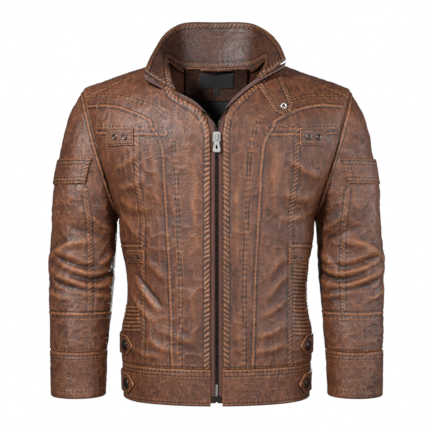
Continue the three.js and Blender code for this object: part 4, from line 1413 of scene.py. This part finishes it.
@dataclass(frozen=True)
class Zip:
    """One side of the zip: its tape and its row of teeth."""

    sign: int
    word: str
    open_line: tuple
    low: float = 18.0
    tape_end: float = 5.0
    pitch: float = 2.7
    tooth: tuple = (-0.7, 3.2, 1.25, 2.4)

    def ribbon(self, share: Grid, low: float) -> tuple[Grid, Grid, Grid]:
        """Points along the teeth's line from a height up, the way across the tape there, and the way out of it.

        Args:
            share: shares of the way up the line.
            low: the height of the line's lower end.

        Returns:
            The points, the way across the tape and the way out of it, for each share.
        """
        straight = [(self.sign * 0.3, -136.95, z) for z in (low, 120, 240, 360, 447)]
        line = curve_through([*straight, *((x, y + 3.2, z) for x, y, z in self.open_line)], 0.5)
        place = share * (len(line) - 1)
        points = np.stack([np.interp(place, np.arange(len(line)), line[:, k]) for k in range(3)], axis=1)
        rise = np.clip((points[:, 2] - 453) / 60, 0, 1)
        rise = (rise * rise * (3 - 2 * rise))[:, None]
        flat, leaf = np.array([self.sign, 0, 0.0]), np.array([self.sign * 0.25, 0.62, 0.74])
        across = unit(flat + (leaf - flat) * rise)
        ahead = unit(np.gradient(points, axis=0))
        return points, across, unit(np.cross(ahead, across)) * -self.sign

    def make(self, finish: Finishes) -> None:
        """Makes the tape and the teeth.

        Args:
            finish: the jacket's materials.
        """
        points, across, out = self.ribbon(np.linspace(0, 1, 300), self.tape_end)
        reach = np.linspace(1.2, 16.5, 8)
        base = points[:, None] + across[:, None] * reach[None, :, None] - out[:, None] * 1.3
        cloth = Sheet(base, -self.sign).creased(0.12, (5, 5, 5), 61)
        tape = cloth.piece(f"{self.word}_tape", finish.tape, 0.9, edge=0.4)
        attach(tape, "torso")
        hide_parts(f"{self.word}_zip_tape")
        length = np.linalg.norm(np.diff(points, axis=0), axis=1).sum()
        count = int(length / self.pitch)
        shift = 0.25 if self.sign > 0 else 0.75
        place, side, outward = self.ribbon((np.arange(count) + shift) / count, self.low)
        ahead = np.cross(outward, side)
        x0, x1, tall, deep = self.tooth
        corners = [(x, t * tall / 2, d * deep / 2) for x in (x0, x0 + 0.8, x1) for t, d in
                   ((-1, -1), (1, -1), (1, 1), (-1, 1))]
        corners = [(x, t * (0.55 if x == x0 else 1), d * (0.75 if x == x0 else 1)) for x, t, d in corners]
        c = np.array(corners)
        tooth = (place[:, None] + side[:, None] * c[None, :, :1] + ahead[:, None] * c[None, :, 1:2]
                 + outward[:, None] * c[None, :, 2:])
        one = [[3, 2, 1, 0], [8, 9, 10, 11]]
        one += [[k + a, k + b, k + b + 4, k + a + 4] for k in (0, 4) for a, b in ((0, 1), (1, 2), (2, 3), (3, 0))]
        faces = [[i * 12 + k for k in face] for i in range(count) for face in one]
        teeth = build(f"{self.word}_teeth", tooth.reshape(-1, 3), faces, finish.teeth)
        teeth.data.polygons.foreach_set("use_smooth", np.zeros(len(teeth.data.polygons), bool))
        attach(teeth, "torso")
        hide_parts(f"{self.word}_zip_teeth")


# ---- Tabs, patches and metal fittings -----------------------------------------------------------------------


def turned(
    name: str, profile: Sequence[tuple], foot: Grid, out: Grid, finish: bpy.types.Material, sides: int = 48,
) -> bpy.types.Object:
    """A fitting turned about a line that stands on a surface.

    Args:
        name: the piece's name.
        profile: its outline as (radius, height) from the foot, closed on itself or on the middle.
        foot: where it stands, in millimetres.
        out: the way it stands.
        finish: its material.
        sides: how many sides it has.

    Returns:
        The new object.
    """
    p = np.asarray(profile, float)
    angle = np.linspace(0, 2 * math.pi, sides, endpoint=False)
    side = unit(np.cross(out, [0, 0, 1.0]))
    up = np.cross(side, out)
    around = np.cos(angle)[:, None] * side + np.sin(angle)[:, None] * up
    points = foot + p[:, None, :1] * around[None] + p[:, None, 1:] * out
    ring = abs(p[0] - p[-1]).max() < 1e-6
    if ring:
        points = points[:-1]
        wrapped = np.arange(len(points) * sides).reshape(len(points), sides)
        quads = [wrapped, np.roll(wrapped, -1, 1), np.roll(np.roll(wrapped, -1, 0), -1, 1), np.roll(wrapped, -1, 0)]
        faces = np.stack(quads, -1).reshape(-1, 4).tolist()
    else:
        faces = grid_faces(len(p), sides, True)
        faces += [list(range(sides))[::-1], [(len(p) - 1) * sides + i for i in range(sides)]]
    return build(name, points.reshape(-1, 3), faces, finish)


def softened(profile: Sequence[tuple], times: int = 2) -> list:
    """An outline with its corners cut back a few times.

    Args:
        profile: the outline, as a list of points.
        times: how often its corners are cut.

    Returns:
        The softer outline.
    """
    p = [np.asarray(q, float) for q in profile]
    for _ in range(times):
        cut = [p[0]]
        for a, b in zip(p, p[1:]):
            cut += [a + (b - a) * 0.25, a + (b - a) * 0.75]
        p = [*cut, p[-1]]
    return [tuple(q) for q in p]


EYELET = ((0.5, 0), (1.0, 0), (1.02, 0.12), (0.92, 0.3), (0.72, 0.34), (0.52, 0.22), (0.45, 0.05), (0.5, 0))


def eyelet(name: str, radius: float, foot: Grid, out: Grid, finish: bpy.types.Material) -> bpy.types.Object:
    """A rolled eyelet."""
    return turned(name, [(r * radius, h * radius) for r, h in EYELET], foot, out, finish)


@dataclass(frozen=True)
class Patch:
    """A stitched patch with two eyelets on one front."""

    word: str
    sign: int
    place: str
    x: float
    z: float
    width: float
    height: float
    radius: float
    apart: float

    def make(self, finish: Finishes) -> None:
        """Makes the patch and its eyelets.

        Args:
            finish: the jacket's materials.
        """
        x = self.sign * (self.x + np.linspace(-0.5, 0.5, rows_by_length(self.width, 1.0)) * self.width)
        z = self.z + np.linspace(-0.5, 0.5, rows_by_length(self.height, 1.0)) * self.height
        shape = (len(z), len(x))
        u, v = BODY.place_of(np.broadcast_to(x, shape), np.broadcast_to(z[:, None], shape))
        base = BODY.at(u, v, -1)
        a, b = self.width / 2 - 3, self.height / 2 - 3
        corners = [(self.sign * (self.x + dx), self.z + dz)
                   for dx, dz in ((-a, -b), (a, -b), (a, b), (-a, b), (-a, -b))]
        marks = [Seam(BODY.on_front([p, q]), Sewing.SINGLE, 1, 5.0, 0.9) for p, q in zip(corners, corners[1:])]
        sheet = Sheet(base, self.sign, lift=2.7).creased(0.35, (9, 9, 9), 71).press(marks)
        piece = sheet.piece(f"{self.word}_{self.place}_badge", finish.leather, 2.6, edge=1.2)
        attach(piece, "torso")
        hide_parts(f"{self.word}_{self.place}_patch")
        for end, side in (("inner", -1), ("outer", 1)):
            at = np.array(self.sign * (self.x + side * self.apart / 2))
            foot = BODY.at(*BODY.place_of(at, np.array(self.z)), -1)
            near = BODY.on_front([(float(at) - 1, self.z), (float(at) + 1, self.z)], step=1.0)
            out = unit(np.cross(near[-1] - near[0], [0, 0, 1.0]))
            name = f"{self.word}_{self.place}_ring_{end}"
            ring = eyelet(name, self.radius, foot + out * 2.75, out, finish.gunmetal)
            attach(ring, "torso")
            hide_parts(f"{self.word}_{self.place}_eyelet_{end}")


def ring_point(angle: Grid, z: Grid) -> Grid:
    """Points of the body below the armpit, by degrees from the middle of the front."""
    behind = np.abs(angle) > 90
    u = np.where(behind, np.sign(angle) * (180 - np.abs(angle)), angle) / 90
    v = z / BODY.mid_z
    return np.where(behind[..., None], BODY.at(u, v, 1), BODY.at(u, v, -1))


@dataclass(frozen=True)
class WaistTab:
    """A pointed tab that is sewn at the side and buttoned in front."""

    word: str
    sign: int
    level: str
    mid: float
    tall: float = 34.0
    tip: float = 58.0
    sewn: float = 104.0
    point: float = 8.0

    def make(self, finish: Finishes) -> None:
        """Makes the tab and its button.

        Args:
            finish: the jacket's materials.
        """
        share = np.linspace(0, 1, 84)
        angle = self.tip + (self.sewn - self.tip) * share
        half = self.tall / 2 * np.clip(((angle - self.tip) / self.point + 0.06), 0, 1) ** 0.85
        v = np.linspace(-1, 1, 34)[:, None]
        z = self.mid + v * half[None]
        base = ring_point(np.broadcast_to(self.sign * angle, z.shape), z)
        sheet = Sheet(base, self.sign, lift=3.8).creased(0.35, (9, 9, 9), 81)
        inset = np.maximum(half - 3.6, 0)
        sheet.press([Seam(ring_point(self.sign * (angle + 1.4), self.mid + side * inset), Sewing.SINGLE, 1, 5.0, 1.0)
                     for side in (-1, 1)])
        piece = sheet.piece(f"{self.word}_{self.level}_strap", finish.leather, 2.6, edge=1.4)
        body = f"{self.word}_{self.level}_waist_tab"
        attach(piece, body)
        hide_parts(body)
        place = self.sign * (self.tip + self.point + 1)
        foot = ring_point(np.array(place), np.array(self.mid))
        near = ring_point(np.array([place - 0.5, place + 0.5]), np.full(2, self.mid))
        out = unit(np.cross(near[1] - near[0], [0, 0, 1.0]))
        r = 9.5
        dome = softened(((0.01, 0), (r * 0.55, 0), (r * 0.6, 1.0), (r, 1.2), (r * 1.02, 2.2), (r * 0.86, 2.9),
                         (r * 0.74, 2.3), (r * 0.6, 2.6), (r * 0.42, 4.2), (0.01, 4.6)))
        button = turned(f"{self.word}_{self.level}_button", dome, foot + out * 3.9, out, finish.gunmetal)
        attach(button, body)
        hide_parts(f"{self.word}_{self.level}_waist_button")


@dataclass(frozen=True)
class ThroatTab:
    """The tab that hangs from under the left collar leaf, with its snap."""

    top: tuple = (91, 551)
    tip: tuple = (120, 492)
    top_width: float = 44.0
    tip_width: float = 32.0
    snap: float = 0.76

    def narrowed(self, u: Grid) -> Grid:
        """What is left of the tab's width towards its blunt point."""
        return 1 - 0.62 * np.clip((u - 0.80) / 0.20, 0, 1)

    def at(self, u: Grid, v: Grid) -> Grid:
        """Points of the body under the tab: u from its top to its tip, v from -1 to 1 across it.

        Args:
            u: shares of the way from its top to its tip.
            v: places across it, from -1 to 1.

        Returns:
            A point of the body for each.
        """
        (x0, z0), (x1, z1) = self.top, self.tip
        length = math.hypot(x1 - x0, z1 - z0)
        half = (self.top_width + (self.tip_width - self.top_width) * u) / 2 * v
        x = x0 + (x1 - x0) * u - (z1 - z0) / length * half
        z = z0 + (z1 - z0) * u + (x1 - x0) / length * half
        return BODY.at(*BODY.place_of(x, z), -1)

    def make(self, finish: Finishes) -> None:
        """Makes the tab and its snap.

        Args:
            finish: the jacket's materials.
        """
        u, v = np.linspace(0, 1, 66)[:, None], np.linspace(-1, 1, 44)[None]
        base = self.at(u + 0 * v, v * self.narrowed(u))
        ends = np.linspace(0.02, 0.96, 30)
        marks = [Seam(self.at(ends, side * self.narrowed(ends)), Sewing.GATHERED, 1, 5.5, 0.7)
                 for side in (-0.84, 0.84)]
        sheet = Sheet(base, 1, lift=3.6)
        if float((sheet.normals[33, 22] * [0, -1, 0]).sum()) < 0:
            sheet = Sheet(base, -1, lift=3.6)
        piece = sheet.creased(0.35, (9, 9, 9), 91).press(marks).piece("throat_strap", finish.leather, 2.6, edge=1.5)
        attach(piece, "throat_tab")
        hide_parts("throat_tab")
        foot = self.at(np.array(self.snap), np.array(0.0))
        a, b = self.at(np.array(self.snap), np.array(0.2)), self.at(np.array(self.snap + 0.1), np.array(0.0))
        out = unit(np.cross(a - foot, b - foot))
        out = out if out[1] < 0 else -out
        ring = eyelet("throat_ring", 5.6, foot + out * 3.7, out, finish.bright)
        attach(ring, "throat_tab")
        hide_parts("throat_snap")


def finish_solids(finish: Finishes) -> None:
    """Softens the edges of the slider, the pull and the box, which stay as they are, and plates them.

    Args:
        finish: the jacket's materials.
    """
    looks = {"zip_slider": finish.bright, "zip_pull": finish.bright, "zip_box": finish.teeth}
    for name, look in looks.items():
        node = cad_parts[name]
        node.data.materials.clear()
        node.data.materials.append(look)
        bevel = node.modifiers.new("soft_edges", "BEVEL")
        bevel.width, bevel.segments, bevel.limit_method = 0.35 * MM, 3, "ANGLE"


# ---- Camera and lights ------------------------------------------------------------------------------------


@dataclass(frozen=True)
class Lamp:
    """A soft lamp that looks at the jacket's middle; places are in millimetres from the hem."""

    name: str
    place: tuple
    size: float
    power: float
    colour: tuple = (1.0, 1.0, 1.0)

    def make(self) -> None:
        """Adds the lamp."""
        light = bpy.data.lights.new(self.name, "AREA")
        light.shape, light.size, light.energy, light.color = "DISK", self.size * MM, self.power, self.colour
        lamp = bpy.data.objects.new(self.name, light)
        lamp.location = to_frame(np.array(self.place, float))
        aim = Vector(to_frame(np.array((0.0, -60.0, 330.0)))) - lamp.location
        lamp.rotation_euler = aim.to_track_quat("-Z", "Y").to_euler()
        bpy.context.scene.collection.objects.link(lamp)


@dataclass(frozen=True)
class Studio:
    """The view and the light: a long lens square to the front, and a white surround."""

    distance: float = 2100.0
    height: float = 322.0
    aside: float = -2.7
    lens: float = 97.7
    lamps: tuple = (
        Lamp("key", (-1000, -1500, 1200), 300, 58),
        Lamp("fill", (1300, -1700, 700), 420, 27),
        Lamp("rim_left", (1500, -100, 500), 500, 9),
        Lamp("low", (-200, -1900, -500), 600, 5),
        Lamp("back", (500, 2000, 300), 700, 16),
    )

    def make(self) -> None:
        """Adds the camera, the lamps and the surround."""
        scene = bpy.context.scene
        data = bpy.data.cameras.new("view")
        data.sensor_width, data.lens = 36.0, self.lens
        camera = bpy.data.objects.new("view", data)
        camera.location = to_frame(np.array((self.aside, -self.distance, self.height)))
        camera.rotation_euler = (math.pi / 2, 0, 0)
        scene.collection.objects.link(camera)
        scene.camera = camera
        for lamp in self.lamps:
            lamp.make()
        world = bpy.data.worlds.new("white_surround")
        world.use_nodes = True
        tree = world.node_tree
        back = tree.nodes["Background"]
        back.inputs[0].default_value = (1, 1, 1, 1)
        path = tree.nodes.new("ShaderNodeLightPath")
        level = tree.nodes.new("ShaderNodeMapRange")
        level.inputs["To Min"].default_value, level.inputs["To Max"].default_value = 0.16, 1.0
        tree.links.new(path.outputs["Is Camera Ray"], level.inputs["Value"])
        tree.links.new(level.outputs[0], back.inputs[1])
        scene.world = world
        scene.view_settings.view_transform = "Standard"


# Folds that the fronts have taken, as [distance from the middle, height] with a width and a height in millimetres.
RIGHT_FOLDS = tuple(stroke(RIGHT, *fold) for fold in (
    (((138, 224), (118, 196), (92, 165)), 5, -3.4), (((142, 214), (122, 186), (97, 157)), 6, 2.6),
    (((150, 190), (128, 160), (104, 140)), 6, 2.4), (((122, 246), (100, 226), (78, 214)), 8, 1.8),
    (((168, 330), (146, 300), (128, 280)), 8, 2.4), (((166, 350), (140, 336), (112, 334)), 9, 2.0),
    (((172, 372), (150, 372), (120, 384)), 8, 2.2), (((178, 400), (156, 410), (132, 428)), 7, 1.8),
    (((112, 440), (104, 400), (100, 340)), 10, 1.6), (((40, 420), (36, 340), (38, 260)), 12, 1.2),
    (((96, 130), (70, 116), (40, 110)), 8, 1.8), (((120, 110), (90, 96), (60, 90)), 7, 1.8),
    (((150, 96), (120, 84), (92, 80)), 6, 1.6), (((46, 200), (38, 150), (40, 100)), 10, 1.4)))
LEFT_FOLDS = tuple(stroke(LEFT, *fold) for fold in (
    (((168, 330), (140, 318), (106, 316)), 8, 2.2), (((172, 356), (150, 350), (116, 356)), 9, 2.2),
    (((176, 388), (150, 398), (120, 420)), 8, 2.0), (((120, 250), (100, 236), (84, 210)), 8, 2.0),
    (((122, 222), (104, 204), (84, 176)), 7, 2.0), (((122, 180), (96, 160), (72, 150)), 7, 2.0),
    (((118, 136), (92, 122), (62, 118)), 7, 2.0), (((120, 104), (94, 94), (66, 92)), 6, 1.8),
    (((40, 400), (34, 320), (36, 240)), 12, 1.2), (((104, 430), (98, 380), (98, 330)), 10, 1.6),
    (((46, 180), (36, 140), (40, 90)), 10, 1.4)))


def main() -> None:
    """Builds the whole jacket."""
    logging.basicConfig(level=logging.INFO, format="%(message)s")
    finish = Finishes()
    Studio().make()
    parts = [
        FrontHalf(RIGHT, "right", RIGHT_FOLDS, 7), FrontHalf(LEFT, "left", LEFT_FOLDS, -7), Back(), Waistband(),
        Inside(), Sleeve(RIGHT, "right"), Sleeve(LEFT, "left"), Collar(),
        Zip(RIGHT, "right", ((-3, -139, 475), (-22, -132, 496), (-66, -116, 521), (-121, -101, 551))),
        Zip(LEFT, "left", ((2, -139, 475), (15, -134, 499), (62, -114, 541), (116, -91, 574))),
        ThroatTab(),
    ]
    for sign, word in SIDES:
        parts += [
            Patch(word, sign, "chest", 164, 455, 46, 30, 5.5, 17),
            Patch(word, sign, "side", 139, 250, 30, 22, 3.6, 11),
            WaistTab(word, sign, "upper", 96), WaistTab(word, sign, "lower", 30),
        ]
    for part in parts:
        part.make(finish)
    finish_solids(finish)


if __name__ == "__main__":
    main()
